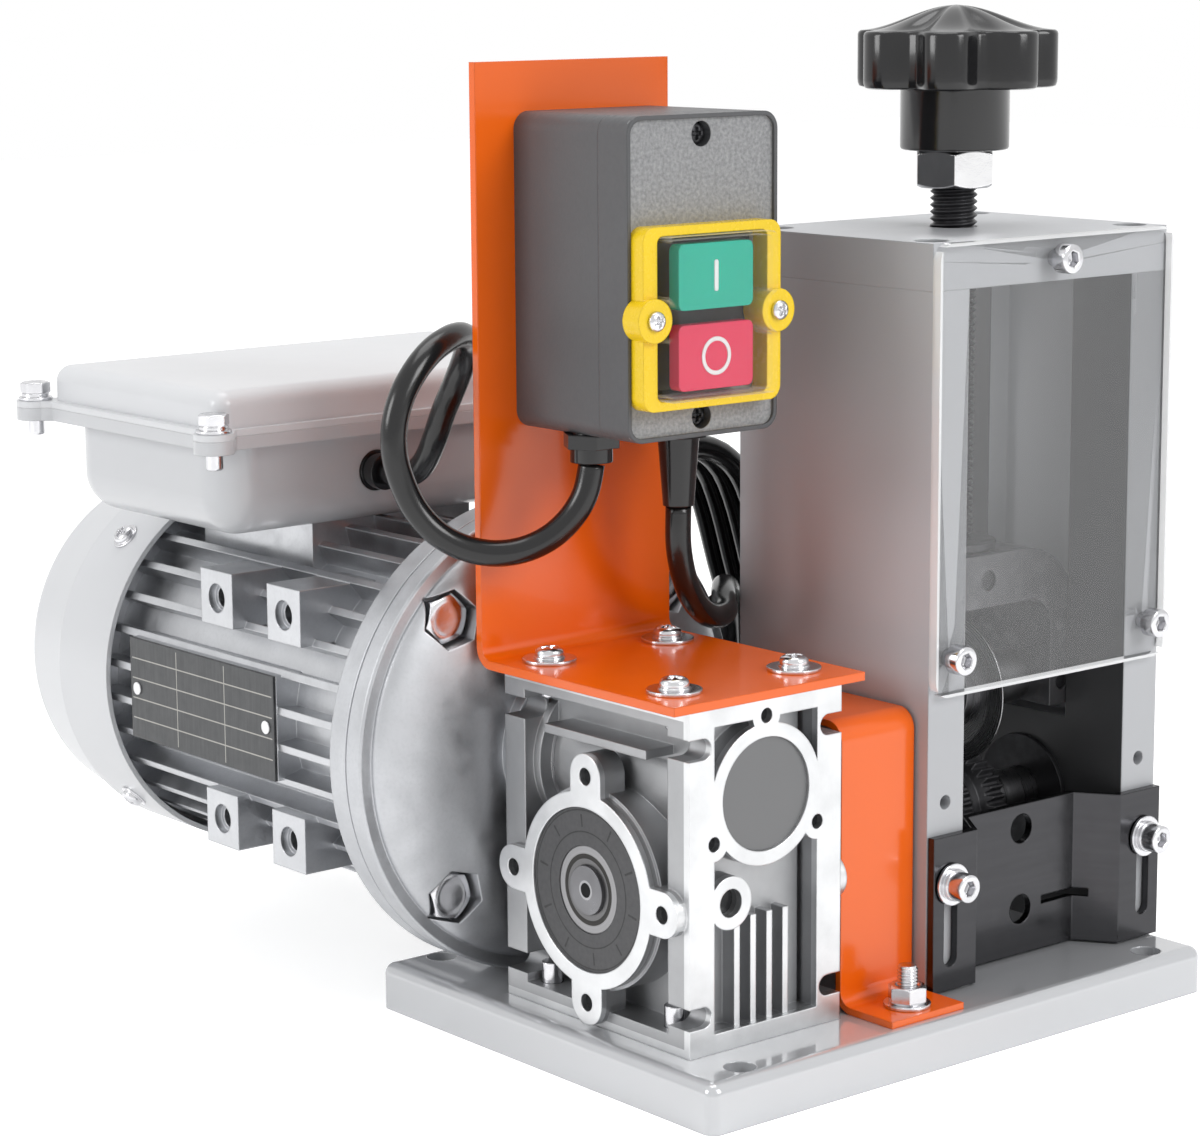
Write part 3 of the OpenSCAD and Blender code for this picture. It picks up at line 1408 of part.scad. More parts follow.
// Half outline of the knob head: rounded rim below and above, dome in the middle
function knob_profile() = concat([[0, 0]],
    [for (a = [-90:15:90]) [knob_d / 2 - rim_r + rim_r * cos(a),
        knob_h / 2 - dome_h / 2 + (knob_h / 2 - dome_h / 2) * sin(a)]],
    [for (i = [1:6]) [(knob_d / 2 - rim_r) * cos(15 * i), knob_h - dome_h + dome_h * sin(15 * i)]]);

rim_r = 5;

// Nuts and sleeves where the leads leave the switch box and enter the terminal box
module lead_glands() {
    color("#18181a") {
        for (i = [0, 1]) translate([lead_x[i], lead_y, box_z]) {
            translate([0, 0, -gland_nut]) cylinder(d = gland_d / cos(30) + gland_nut, h = gland_nut, $fn = 6);
            difference() {
                cylinder(d = gland_d, h = box_wall + gland_nut);
                translate([0, 0, box_wall]) cylinder(d = cord_d, h = gland_nut + cut);
            }
        }
        translate([lead_x[1], lead_y, box_z - gland_nut]) mirror([0, 0, 1])
            cylinder(d1 = relief_d, d2 = relief_tip_d, h = box_z - gland_nut - lead_route[0][2] - slide_gap);
        translate([lead_x[0], lead_y, box_z - gland_nut]) mirror([0, 0, 1])
            cylinder(d = relief_d, h = box_z - gland_nut - motor_route[0][2] - 2 * slide_gap);
        translate([gear_x - tub_gland_left, tub_front(), tub_z + tub_h / 2]) rotate([90, 0, 0]) {
            translate([0, 0, -tub_wall]) cylinder(d = cord_d + 2 * tub_wall, h = tub_wall);
            cylinder(d = gland_d, h = tub_front() - motor_route[len(motor_route) - 1][1] - slide_gap);
        }
    }
}

gland_nut = 4;
function tub_front() = lid_seat_y() - lid_d / 2 + tub_in;

function unit(v) = v / norm(v);

// Smooth curve through the route's points, with n steps between two of them
function curve(p, n) = [
    for (i = [0:len(p) - 2], j = [0:n - 1])
        let (a = p[max(i - 1, 0)], b = p[i], c = p[i + 1], d = p[min(i + 2, len(p) - 1)], t = j / n)
        (2 * b + (c - a) * t + (2 * a - 5 * b + 4 * c - d) * t ^ 2 + (3 * b - a - 3 * c + d) * t ^ 3) / 2,
    p[len(p) - 1]
];

// Tube of round section swept along a list of points
module tube(p, d, sides) {
    n = len(p);
    t = [for (i = [0:n - 1]) unit(p[min(i + 1, n - 1)] - p[max(i - 1, 0)])];
    first = unit(cross(t[0], abs(t[0][2]) > 0.7 ? [1, 0, 0] : [0, 0, 1]));
    u = [for (i = 0, v = first; i < n; i = i + 1, v = unit(v - (v * t[min(i, n - 1)]) * t[min(i, n - 1)])) v];
    points = [for (i = [0:n - 1], k = [0:sides - 1]) let (a = 360 * k / sides)
        p[i] + d / 2 * (cos(a) * u[i] + sin(a) * cross(t[i], u[i]))];
    skin = [for (i = [0:n - 2], k = [0:sides - 1])
        let (a = i * sides + k, b = i * sides + (k + 1) % sides)
        each [[a, a + sides, b], [b, a + sides, b + sides]]];
    ends = [for (k = [1:sides - 2]) each [[0, k, k + 1],
        [(n - 1) * sides, (n - 1) * sides + k + 1, (n - 1) * sides + k]]];
    polyhedron(points, concat(skin, ends), convexity = 8);
}

module motor_lead() {
    path = curve(motor_route, 2);
    echo(motor_lead_length = path_length(path));
    color("#111111") tube(path, cord_d, cord_sides);
}

// Length of one loop of the hank and the place at a distance along it
hank_loop = 2 * PI * hank_r + 4 * hank_run;
function hank_in(x) = hank_r - hank_pinch * (1 + cos(180 * x / hank_run)) / 2;
function ease(q) = (1 - cos(180 * q)) / 2;
function hank_at(s) =
    let (k = floor(s / hank_loop + 1e-6))
    let (d = s - k * hank_loop)
    let (fold = PI * hank_r)
    d < fold ? [hank_run + hank_r * sin(180 * d / fold), k, -hank_r * cos(180 * d / fold)] :
    d < fold + 2 * hank_run ? let (q = d - fold)
        [hank_run - q, k + ease(q / hank_run / 2), hank_in(hank_run - q)] :
    d < 2 * fold + 2 * hank_run ? let (q = d - fold - 2 * hank_run)
        [-hank_run - hank_r * sin(180 * q / fold), k + 1, hank_r * cos(180 * q / fold)] :
    let (q = d - 2 * fold - 2 * hank_run) [-hank_run + q, k + 1, -hank_in(-hank_run + q)];
hank_path = [for (i = [0:hank_loops * hank_rings])
    let (h = hank_at(hank_loop * i / hank_rings))
    [hank_x + h[0] * cos(hank_tilt) + h[2] * sin(hank_tilt), hank_y + hank_step * h[1],
        hank_z - h[0] * sin(hank_tilt) + h[2] * cos(hank_tilt)]];
hank_gap = min([for (i = [0:len(hank_path) - 1], j = [i + 6:1:len(hank_path) - 1])
    norm(hank_path[i] - hank_path[j])]) - cord_d;

// Mains cord in one piece: lead from the switch box, hank behind the tower, tail to the plug
module mains_cord() {
    n = len(hank_path) - 1;
    path = concat(curve(concat(lead_route, [hank_path[0]]), 2), [for (i = [1:n - 1]) hank_path[i]],
        curve(concat([hank_path[n]], tail_route), 2));
    echo(least_gap_in_the_hank = hank_gap);
    echo(cord_length = path_length(path));
    color("#111111") tube(path, cord_d, hank_sides);
}

function path_length(p) = sum_steps([for (i = [1:len(p) - 1]) norm(p[i] - p[i - 1])], 0, 0);
function sum_steps(steps, i, total) =
    i == len(steps) ? total : sum_steps(steps, i + 1, total + steps[i]);

// Two-pin plug on the ground behind the machine
module mains_plug() {
    tip = tail_route[len(tail_route) - 1];
    color("#161616") translate(tip) rotate([0, 0, plug_turn]) {
        translate([0, 0, plug_body_h / 2 - tip[2]]) {
            along_x(relief_tip_d, relief_l);
            translate([relief_l, 0, -plug_body_h / 2]) translate([plug_l / 2, 0, 0])
                soft_box(plug_l, plug_w, plug_body_h, frame_r);
            for (y = [-1, 1]) translate([relief_l + plug_l - cut, y * pin_gap / 2, 0])
                along_x(pin_d, pin_l);
        }
    }
}

base_plate();
gearbox_housing();
output_seals();
output_bearings();
worm_wheel();
worm();
worm_bearings();
worm_end_cap();
oil_plug();
gearbox_screws();
input_flange();
flange_bolts();
motor_flange();
motor_body();
stator();
rotor();
motor_bearings();
rear_shield();
fan();
fan_cowl();
cowl_screws();
nameplate();
terminal_tub();
terminal_lid();
lid_screws();
capacitor();
switch_bracket();
bracket_screws();
shaft_guard();
guard_fastener();
switch_box_base();
switch_box_cover();
switch_body();
switch_frame();
switch_pane();
start_button();
stop_button();
switch_screws();
left_side_plate();
right_side_plate();
top_block();
tower_screws();
clear_guard();
guard_screws();
wire_guide();
guide_screws();
output_shaft();
shaft_bearings();
feed_roller();
blade_yoke();
yoke_screws();
blade_axle();
blade();
blade_hub();
adjusting_screw();
star_knob();
lead_glands();
motor_lead();
mains_cord();
mains_plug();
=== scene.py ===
"""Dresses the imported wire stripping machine: smooth cords, threads, marks and finishes."""
import json
import math

import bpy
import numpy as np
from mathutils import Matrix, Vector


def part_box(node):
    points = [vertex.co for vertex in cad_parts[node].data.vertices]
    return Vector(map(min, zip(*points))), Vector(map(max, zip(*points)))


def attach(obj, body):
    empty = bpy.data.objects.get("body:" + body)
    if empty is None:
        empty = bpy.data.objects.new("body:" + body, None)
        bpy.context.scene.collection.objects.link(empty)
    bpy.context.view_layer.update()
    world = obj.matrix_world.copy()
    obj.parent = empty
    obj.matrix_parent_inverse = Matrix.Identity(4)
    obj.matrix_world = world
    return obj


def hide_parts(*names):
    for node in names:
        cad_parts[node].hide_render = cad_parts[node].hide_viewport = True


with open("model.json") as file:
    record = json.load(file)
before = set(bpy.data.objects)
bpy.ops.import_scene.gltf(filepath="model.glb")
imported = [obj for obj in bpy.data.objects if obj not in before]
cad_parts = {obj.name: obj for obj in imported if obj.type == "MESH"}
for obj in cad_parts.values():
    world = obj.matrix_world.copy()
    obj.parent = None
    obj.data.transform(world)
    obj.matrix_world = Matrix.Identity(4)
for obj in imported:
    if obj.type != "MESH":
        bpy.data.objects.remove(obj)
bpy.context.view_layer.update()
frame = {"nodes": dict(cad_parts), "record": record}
NODES = frame["nodes"]
MM = 0.001

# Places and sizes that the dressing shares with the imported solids, in millimetres
# Gearbox, its output axis and worm axis
GEAR_X, AXIS_Y, OUT_Z, WORM_Z = -61.0, -14.5, 54.0, 84.0
# Switch bracket on the gearbox, and its screws from the gearbox's middle
GEAR_TOP, BRACKET_T, FOOT_X, FOOT_Y = 111.0, 2.5, 22.0, 27.0
# Input flange along Y, and its bolt pockets
FLANGE_BACK, FLANGE_L, POCKET_FLOOR, POCKET_AF, BOLT_CIRCLE = 25.5, 20.0, 5.0, 15.2, 115.0
# Fan cowl's screws round the worm axis
COWL_SCREW_Y, COWL_SCREW_R = 204.5, 60.5
# Terminal box lid, and its corner lugs from its middle
LID_X, LID_Y, LID_Z, LID_T, LUG_X, LUG_Y = -61.0, 147.5, 173.0, 2.0, 77.5, 50.5
# Tower, the blade's axis at rest, the clear pane and the wire guide
TOWER_X, TOWER_FRONT, BLADE_Z = 49.5, -54.5, 91.2
PANE_T, PANE_SCREWS = 3.0, ((TOWER_X, 223.7), (8.25, 112.5), (90.75, 112.5))
GUIDE_T, GUIDE_SCREW_X, GUIDE_SCREW_Z = 3.1, (8.25, 90.75), 46.4
# Stud of the shaft guard's foot
STUD_AT = (-14.25, -62.5, 14.0)
# Switch box, and its cover and back screws from its middle
BOX_X, BOX_Z, BOX_FRONT, BOX_BACK = -55.3, 222.95, -21.2, 24.4
COVER_SCREW, WELL_FLOOR, BACK_SCREW = 38.75, 4.0, 22.125
# Yellow frame with its ears, and the buttons from its middle
FRAME_X, FRAME_Z, FRAME_T, EAR_X = -56.3, 212.7, 8.0, 22.4
BUTTON_APART, BUTTON_FRONT = 11.0, BOX_FRONT - 7.3

# Camera

# Solved from the photograph: place in millimetres, angles in degrees, sensor in millimetres
CAMERA_AT = (-657.65, -708.1, 308.42)
CAMERA_AZIMUTH, CAMERA_HEIGHT, CAMERA_ROLL = -39.47, 10.39, -0.39
PHOTO_PIXELS, FOCAL_PIXELS, SENSOR = 1200, 3330.79, 36.0


def aim_camera():
    """Camera solved from the straight edges of the machine: place, direction, roll and lens."""
    cam = bpy.data.cameras.new("camera")
    obj = bpy.data.objects.new("camera", cam)
    bpy.context.scene.collection.objects.link(obj)
    az, el, roll = (math.radians(v) for v in (CAMERA_AZIMUTH, CAMERA_HEIGHT, CAMERA_ROLL))
    back = Vector((math.sin(az) * math.cos(el), -math.cos(az) * math.cos(el), math.sin(el)))
    right = Vector((math.cos(az), math.sin(az), 0.0))
    up = back.cross(right)
    x = math.cos(roll) * right + math.sin(roll) * up
    y = math.cos(roll) * up - math.sin(roll) * right
    m = Matrix((x, y, back)).transposed().to_4x4()
    m.translation = Vector(CAMERA_AT) * MM
    obj.matrix_world = m
    cam.sensor_fit, cam.sensor_width = "HORIZONTAL", SENSOR
    cam.lens = FOCAL_PIXELS / PHOTO_PIXELS * SENSOR
    cam.clip_start, cam.clip_end = 0.05, 20.0
    bpy.context.scene.camera = obj


aim_camera()
bpy.context.scene.view_settings.view_transform = "Standard"

# Mesh makers


def smooth_faces(me, crease):
    """Smooth shading, with edges that turn more than crease degrees kept sharp."""
    me.polygons.foreach_set("use_smooth", [True] * len(me.polygons))
    if crease:
        me.set_sharp_from_angle(angle=math.radians(crease))


def mesh_piece(name, verts, faces, crease=None):
    """A smooth mesh object at the origin from points in millimetres and a list of faces; points
    that no face uses are dropped, and edges that turn more than crease degrees stay sharp."""
    used, flat = np.unique(np.concatenate([np.asarray(f) for f in faces]), return_inverse=True)
    ends = np.cumsum([len(f) for f in faces])[:-1]
    me = bpy.data.meshes.new(name)
    me.from_pydata((np.asarray(verts, float)[used] * MM).tolist(), [],
                   [f.tolist() for f in np.split(flat.ravel(), ends)])
    me.validate()
    smooth_faces(me, crease)
    obj = bpy.data.objects.new(name, me)
    bpy.context.scene.collection.objects.link(obj)
    return obj


def grid_faces(rows, cols, closed=False):
    """Quads of a rows by cols grid of points whose rows are rings; closed also joins the last
    row to the first."""
    i, j = np.meshgrid(np.arange(rows if closed else rows - 1), np.arange(cols), indexing="ij")
    i2, j2 = (i + 1) % rows, (j + 1) % cols
    quads = np.stack([i * cols + j, i * cols + j2, i2 * cols + j2, i2 * cols + j], -1)
    return quads.reshape(-1, 4).tolist()


def resample(points, step):
    """Points at an even distance along a path of straight pieces."""
    p = np.asarray(points, float)
    s = np.concatenate([[0], np.cumsum(np.linalg.norm(np.diff(p, axis=0), axis=1))])
    t = np.linspace(0, s[-1], max(2, int(round(s[-1] / step)) + 1))
    return np.stack([np.interp(t, s, p[:, k]) for k in range(3)], 1)


def curve_points(points, n):
    """Smooth curve through points: cubic pieces whose slope at a point is half the way between
    its neighbours, n steps a piece."""
    p = np.asarray(points, float)
    a, b, c, d = np.vstack([p[:1], p[:-2]]), p[:-1], p[1:], np.vstack([p[2:], p[-1:]])
    t = (np.arange(n) / n)[None, :, None]
    a, b, c, d = (q[:, None, :] for q in (a, b, c, d))
    q = (2 * b + (c - a) * t + (2 * a - 5 * b + 4 * c - d) * t ** 2 + (3 * b - a - 3 * c + d) * t ** 3) / 2
    return np.vstack([q.reshape(-1, 3), p[-1:]])


def tube_mesh(name, path, radius, sides):
    """Round section carried along a path and closed at both ends: frames are turned as little as
    possible from ring to ring, point = path + r (cos a u + sin a v)."""
    p = np.asarray(path, float)
    t = np.gradient(p, axis=0)
    t /= np.linalg.norm(t, axis=1)[:, None]
    u = np.zeros_like(p)
    first = np.cross(t[0], [0, 0, 1.0] if abs(t[0][2]) < 0.8 else [1.0, 0, 0])
    u[0] = first / np.linalg.norm(first)
    for i in range(1, len(p)):
        v = u[i - 1] - t[i] * np.dot(u[i - 1], t[i])
        u[i] = v / np.linalg.norm(v)
    v = np.cross(t, u)
    a = np.linspace(0, 2 * np.pi, sides, endpoint=False)
    ring = np.cos(a)[None, :, None] * u[:, None] + np.sin(a)[None, :, None] * v[:, None]
    tube = (p[:, None] + radius * ring).reshape(-1, 3)
    start, end, last = len(tube), len(tube) + 1, (len(p) - 1) * sides
    faces = grid_faces(len(p), sides)
    faces += [[start, (k + 1) % sides, k] for k in range(sides)]
    faces += [[end, last + k, last + (k + 1) % sides] for k in range(sides)]
    return mesh_piece(name, np.vstack([tube, p[0], p[-1]]), faces)


# Cords

CORD_D, CORD_STEP = 7.5, 10
MOTOR_ROUTE = [
    (-74, 4, 170), (-76, 4.4, 161.8), (-79.9, 6.2, 154.9), (-85.3, 9.3, 149.5), (-91.8, 13.4, 146.3),
    (-98.7, 17.9, 145.6), (-105.5, 22.5, 147.5), (-111.5, 26.6, 151.8), (-116.2, 29.6, 158.2),
    (-119.2, 31.6, 165.8), (-121.1, 32.6, 174), (-120.7, 32.9, 182.4), (-117.7, 33.1, 190.3),
    (-112.4, 33.7, 196.9), (-105.6, 35.3, 201.6), (-98, 38, 204), (-90.6, 42.1, 204.2),
    (-84.3, 47.3, 202.3), (-79.7, 53.2, 198.5), (-77.1, 59.1, 193), (-76.6, 64, 186.2),
    (-78, 67.4, 178.6), (-78.8, 70.6, 170.9), (-78.1, 75.7, 164.2), (-76.9, 82.6, 159.4),
    (-76, 90.6, 157), (-76, 99, 157)]
LEAD_ROUTE = [
    (-42, 4, 154.5), (-42, 4, 142.8), (-38.2, 5.5, 132.1), (-31.1, 8.6, 123.7), (-21.7, 12.9, 118.6),
    (-11.6, 18.3, 117.6), (-4.4, 26.9, 120.3), (4, 36.2, 120.8), (11.8, 42.9, 117.7), (17.7, 49.9, 110.4),
    (21.7, 54.2, 100.2), (24.3, 56.3, 88.9), (26.2, 57.3, 77.4), (27.9, 57.7, 65.8), (30, 57.8, 54.2),
    (33.2, 57.8, 42.9)]
TAIL_ROUTE = [
    (42.4, 90.6, 24.9), (46.4, 92.8, 17.7), (50.3, 97.1, 11.5), (54, 103.1, 7), (57.2, 110.3, 4.6),
    (59.8, 118.3, 4), (62.3, 126.5, 4), (65.1, 134.4, 4), (69, 142, 4)]
HANK = dict(loops=4, r=26, run=50, pinch=8, step=8.2, tilt=63, x=39, y=57.8, z=88.8)
STRAP = dict(half_z=22.3, half_y=20.8, mid_y=16.4, half_w=8.0, thick=0.9, power=7.0,
             lap_from=0.35, lap_to=1.75, lap_fade=0.05)


def hank_place(x, y, z):
    """A place of the leaning hank: x along its runs, y across its loops, z from run to run."""
    h, t = HANK, math.radians(HANK["tilt"])
    return np.stack([h["x"] + x * math.cos(t) + z * math.sin(t), h["y"] + y,
                     h["z"] - x * math.sin(t) + z * math.cos(t)], -1)


def hank_points(rings):
    """Hank of flat loops side by side: two straight runs pinched towards each other in the middle,
    joined by half circles. It leans with its foot on the base plate and its side on the motor, and
    each loop steps back by a little over the cord's thickness."""
    h = HANK
    fold, both = math.pi * h["r"], 2 * h["run"]
    loop = 2 * fold + 2 * both
    s = loop * np.arange(h["loops"] * rings + 1) / rings
    k = np.floor(s / loop + 1e-6)
    d = s - k * loop

    def inner(x):
        return h["r"] - h["pinch"] * (1 + np.cos(np.pi * x / h["run"])) / 2

    def ease(q):
        return (1 - np.cos(np.pi * q)) / 2

    q1, q2, q3 = d - fold, d - fold - both, d - 2 * fold - both
    parts = [d < fold, q1 < both, q2 < fold]
    x = np.select(parts, [h["run"] + h["r"] * np.sin(np.pi * d / fold), h["run"] - q1,
                          -h["run"] - h["r"] * np.sin(np.pi * q2 / fold)], -h["run"] + q3)
    y = np.select(parts, [k, k + ease(q1 / both), k + 1], k + 1)
    z = np.select(parts, [-h["r"] * np.cos(np.pi * d / fold), inner(h["run"] - q1),
                          h["r"] * np.cos(np.pi * q2 / fold)], -inner(-h["run"] + q3))
    return hank_place(x, h["step"] * y, z)


def hank_tie():
    """Hook and loop strap round the middle of the hank: a closed band whose line is a rectangle
    with round ends, carried along the runs for its width, soft at its edges, with one end lapped
    over the other. The line's distance r from the middle has r to the -7 = (|cos| / half its
    depth) to the 7 + (|sin| / half its width) to the 7."""
    q, n = STRAP, 120
    a = 2 * np.pi * np.arange(n) / n
    c, s = np.cos(a), np.sin(a)
    power = q["power"]
    r = ((np.abs(c) / q["half_z"]) ** power + (np.abs(s) / q["half_y"]) ** power) ** (-1 / power)
    ends = np.minimum(a - q["lap_from"], q["lap_to"] - a) / q["lap_fade"]
    top = q["thick"] + q["thick"] * np.clip(ends, 0, 1)
    w, soft, mid = q["half_w"], 0.5, 0.4
    rings = []
    edges = ((soft - w, 0.0), (-w, mid), (soft - w, top), (w - soft, top), (w, mid), (w - soft, 0.0))
    for along, out in edges:
        rings.append(hank_place(np.full(n, along), q["mid_y"] + (r + out) * s, (r + out) * c))
    obj = mesh_piece("hank_tie", np.vstack(rings), grid_faces(len(rings), n, closed=True), 50)
    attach(obj, "stand")
    return obj


def jacket(name, node, path, sides):
    """A lead's smooth tube in place of its solid, and its length in metres."""
    obj = tube_mesh(name, path, CORD_D / 2, sides)
    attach(obj, "stand")
    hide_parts(node)
    return obj, round(float(np.linalg.norm(np.diff(path, axis=0), axis=1).sum()) * MM, 3)


def make_cords():
    """Both leads as smooth tubes on the routes of their solids."""
    path = resample(curve_points(MOTOR_ROUTE, CORD_STEP), 1.5)
    lead, length = jacket("motor_lead_jacket", "motor_lead", path, 20)
    strap = hank_tie()
    hank = hank_points(72)
    path = resample(np.vstack([curve_points(LEAD_ROUTE + [tuple(hank[0])], CORD_STEP), hank[1:-1],
                               curve_points([tuple(hank[-1])] + TAIL_ROUTE, CORD_STEP)]), 2.0)
    cord, length = jacket("mains_cord_jacket", "mains_cord", path, 16)
    return lead, cord, strap


motor_lead, mains_cord, cord_strap = make_cords()

# Rings, screws and threads

CREASE = 32
SCREW_TIP = 0.5
# Pieces and the names of their finishes, which are made further down
LATER = []


def angles(sides):
    """Even turns round a full circle, from 0."""
    return 2 * np.pi * np.arange(sides) / sides


def stack(rings, sides=48, loop=False):
    """Skin over rings round the local Z axis. A ring is (radius, height), each a number or one
    value an angle: point = (r cos a, r sin a, z). A radius of 0 at an end is a pole, and loop joins
    the last ring to the first."""
    r = np.stack([np.broadcast_to(np.asarray(q[0], float), sides) for q in rings])
    z = np.stack([np.broadcast_to(np.asarray(q[1], float), sides) for q in rings])
    a = angles(sides)
    verts = np.stack([r * np.cos(a), r * np.sin(a), z], -1).reshape(-1, 3)
    own = np.arange(len(verts))
    for row in (0, len(rings) - 1):
        if not r[row].any():
            own[row * sides:(row + 1) * sides] = row * sides
    quads = own[np.array(grid_faces(len(rings), sides, closed=loop))]
    return verts, [[v for k, v in enumerate(f) if v != f[k - 1]] for f in quads.tolist()]


def placed(part, at, z=(0, 0, 1), x=None):
    """The part with its local Z along z, turned so that its X lies near x, and moved to at."""
    z = np.asarray(z, float) / np.linalg.norm(z)
    x = np.asarray(x if x is not None else ((1, 0, 0) if abs(z[0]) < 0.9 else (0, 1, 0)), float)
    x = x - z * np.dot(x, z)
    x /= np.linalg.norm(x)
    return part[0] @ np.stack([x, np.cross(z, x), z]) + np.asarray(at, float), part[1]


def joined(parts):
    """Several parts as one list of points and one list of faces."""
    verts, faces, base = [], [], 0
    for v, f in parts:
        verts.append(v)
        faces += [[k + base for k in q] for q in f]
        base += len(v)
    return np.vstack(verts), faces


def piece(name, parts, body, mat, nodes=(), crease=CREASE):
    """One object of several parts that rides a body and stands for the nodes named."""
    obj = mesh_piece(name, *joined(parts), crease)
    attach(obj, body)
    if nodes:
        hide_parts(*nodes)
    LATER.append((obj, mat))


def hexagon(af, sides=48):
    """Distance from the middle to a hexagon of that width over flats, flat at angle 0: half the
    width over the cosine of the turn from the nearest flat."""
    return af / 2 / np.cos((angles(sides) + np.pi / 6) % (np.pi / 3) - np.pi / 6)


def oblong(w, h, r, sides=64):
    """Distance from the middle to a rectangle w by h whose corners are drawn in by about r: the
    n-th powers of |cos| over half the width and |sin| over half the height add up to its -n-th."""
    c, q = np.abs(np.cos(angles(sides))), np.abs(np.sin(angles(sides)))
    n = 2 * max(w, h) / max(r, 0.1)
    return ((c / (w / 2)) ** n + (q / (h / 2)) ** n) ** (-1 / n)


def cone_cut(af, sides=48):
    """A hexagon whose corners are cut by a cone of 30 degrees: its outline, the outline within
    the cone's foot, and how far the cone lowers the corners."""
    r, foot = hexagon(af, sides), af / 2 * 0.97
    return r, np.minimum(r, foot), np.maximum(r - foot, 0) * math.tan(math.radians(30))


def washer(d, bore, t):
    """Flat washer: a rectangle with broken outer corners, turned round Z."""
    soft = 0.15
    return stack([(bore / 2, 0), (d / 2 - soft, 0), (d / 2, soft), (d / 2, t - soft), (d / 2 - soft, t),
                  (bore / 2, t)], loop=True)


def nut(af, h, bore):
    """Hexagon with coned corners above and below and a coned bore, as rings of one outline."""
    r, low, cut = cone_cut(af)
    hole, cone = bore / 2, 0.5
    return stack([(hole, cone), (hole + cone, 0), (low, 0), (r, cut), (r, h - cut), (low, h),
                  (hole + cone, h), (hole, h - cone)], loop=True)


def thread(d, pitch, low, high, deep, sides=32):
    """Rod with a screw thread: radius = d/2 - deep times a triangle wave of height/pitch - turn,
    faded out at both ends."""
    z = np.linspace(low, high, int((high - low) / pitch * 8) + 1)[:, None]
    turn = (angles(sides) / (2 * np.pi))[None, :]
    wave = np.abs(((z - low) / pitch - turn) % 1 * 2 - 1)
    end = np.clip(np.minimum(z - low, high - z) / pitch, 0, 1)
    r = d / 2 - deep * (1 - end * (1 - np.clip(wave * 1.2 - 0.1, 0, 1)))
    rings = [(0, low)] + [(r[i], z[i, 0]) for i in range(len(z))] + [(0, high)]
    return stack(rings, sides)


def shank(d, l, tip):
    """Rings of a screw's plain shank, from the middle of its narrowed tip up to its head."""
    return [(0, -l), (d * 0.42, -l), (d / 2, tip - l), (d / 2, 0)]


def cross_screw(d, l, head_d, head_h):
    """Screw that points down with a domed head; the head's height falls by a cross-shaped recess:
    two bars whose depth fades at their edges."""
    big, a = head_d / 2, angles(48)
    rings = shank(d, l, d * 0.1) + [(big - 0.15, 0), (big, 0.15)]
    for q in (1.0, 0.985, 0.94, 0.86, 0.76, 0.66, 0.56, 0.48, 0.40, 0.32, 0.24, 0.16, 0.08, 0.0):
        top = head_h * (0.35 + 0.65 * math.sqrt(max(0.0, 1 - q ** 3)))
        u, v = np.abs(big * q * np.cos(a)), np.abs(big * q * np.sin(a))
        bars = [np.clip((0.17 * big - across) / (0.06 * big), 0, 1)
                * np.clip((0.58 * big - along) / (0.1 * big), 0, 1) for across, along in ((u, v), (v, u))]
        rings.append((big * q, top - head_h * 0.5 * np.maximum(*bars)))
    return stack(rings)


def socket_screw(d, l, head_d, h, key):
    """Cap screw that points down: round head with soft rims and a hexagon socket."""
    big, k = head_d / 2, hexagon(key)
    return stack(shank(d, l, SCREW_TIP) + [
        (big - 0.25, 0), (big, 0.25), (big, h - 0.6), (big - 0.18, h - 0.18), (big - 0.6, h),
        (k + 0.25, h), (k, h - 0.3), (k, h * 0.45), (0, h * 0.3)])


def hex_screw(d, l, af, h):
    """Hexagon screw that points down, its head coned above, with a shallow dish."""
    r, low, cut = cone_cut(af)
    return stack(shank(d, l, SCREW_TIP) + [
        (low, 0), (r, 0.2), (r, h - cut), (low, h), (af * 0.3, h - 0.05), (af * 0.22, h - 0.3),
        (0, h - 0.35)])


# Fasteners of the standing frame

FRONT = (0, -1, 0)
CORNERS = ((-1, -1), (1, -1), (-1, 1), (1, 1))


def flat_turn(degrees):
    """Direction in the plane of X and Y, so that no two screws stand alike."""
    return math.cos(math.radians(degrees)), math.sin(math.radians(degrees)), 0


def front_turn(radians):
    """Direction in the plane of X and Z, for screws that are driven in from the front."""
    return math.cos(radians), 0, math.sin(radians)


def round_motor(k):
    """Directions out from the motor's axis and round it at the k-th of its four diagonals."""
    a = math.radians(45 + 90 * k)
    return np.array([math.cos(a), 0, -math.sin(a)]), np.array([math.sin(a), 0, math.cos(a)])


def zinc_screws(name, parts, node):
    """Zinc plated fasteners on the stand, in place of one node."""
    piece(name, parts, "stand", "zinc_steel", [node])


def bracket_fasteners():
    """Four low cross screws, each on a small washer and a wide flat one."""
    wide, small = 1.1, 0.6
    parts = []
    for i, (sx, sy) in enumerate(CORNERS):
        at = np.array([GEAR_X + sx * FOOT_X, AXIS_Y + sy * FOOT_Y, GEAR_TOP + BRACKET_T])
        screw = cross_screw(d=5, l=12, head_d=8.2, head_h=2.7)
        parts += [placed(washer(d=15.4, bore=6.4, t=wide), at),
                  placed(washer(d=9.0, bore=6.2, t=small), at + [0, 0, wide]),
                  placed(screw, at + [0, 0, wide + small], x=flat_turn(17 + 31 * i))]
    zinc_screws("bracket_cross_screws", parts, "bracket_screws")


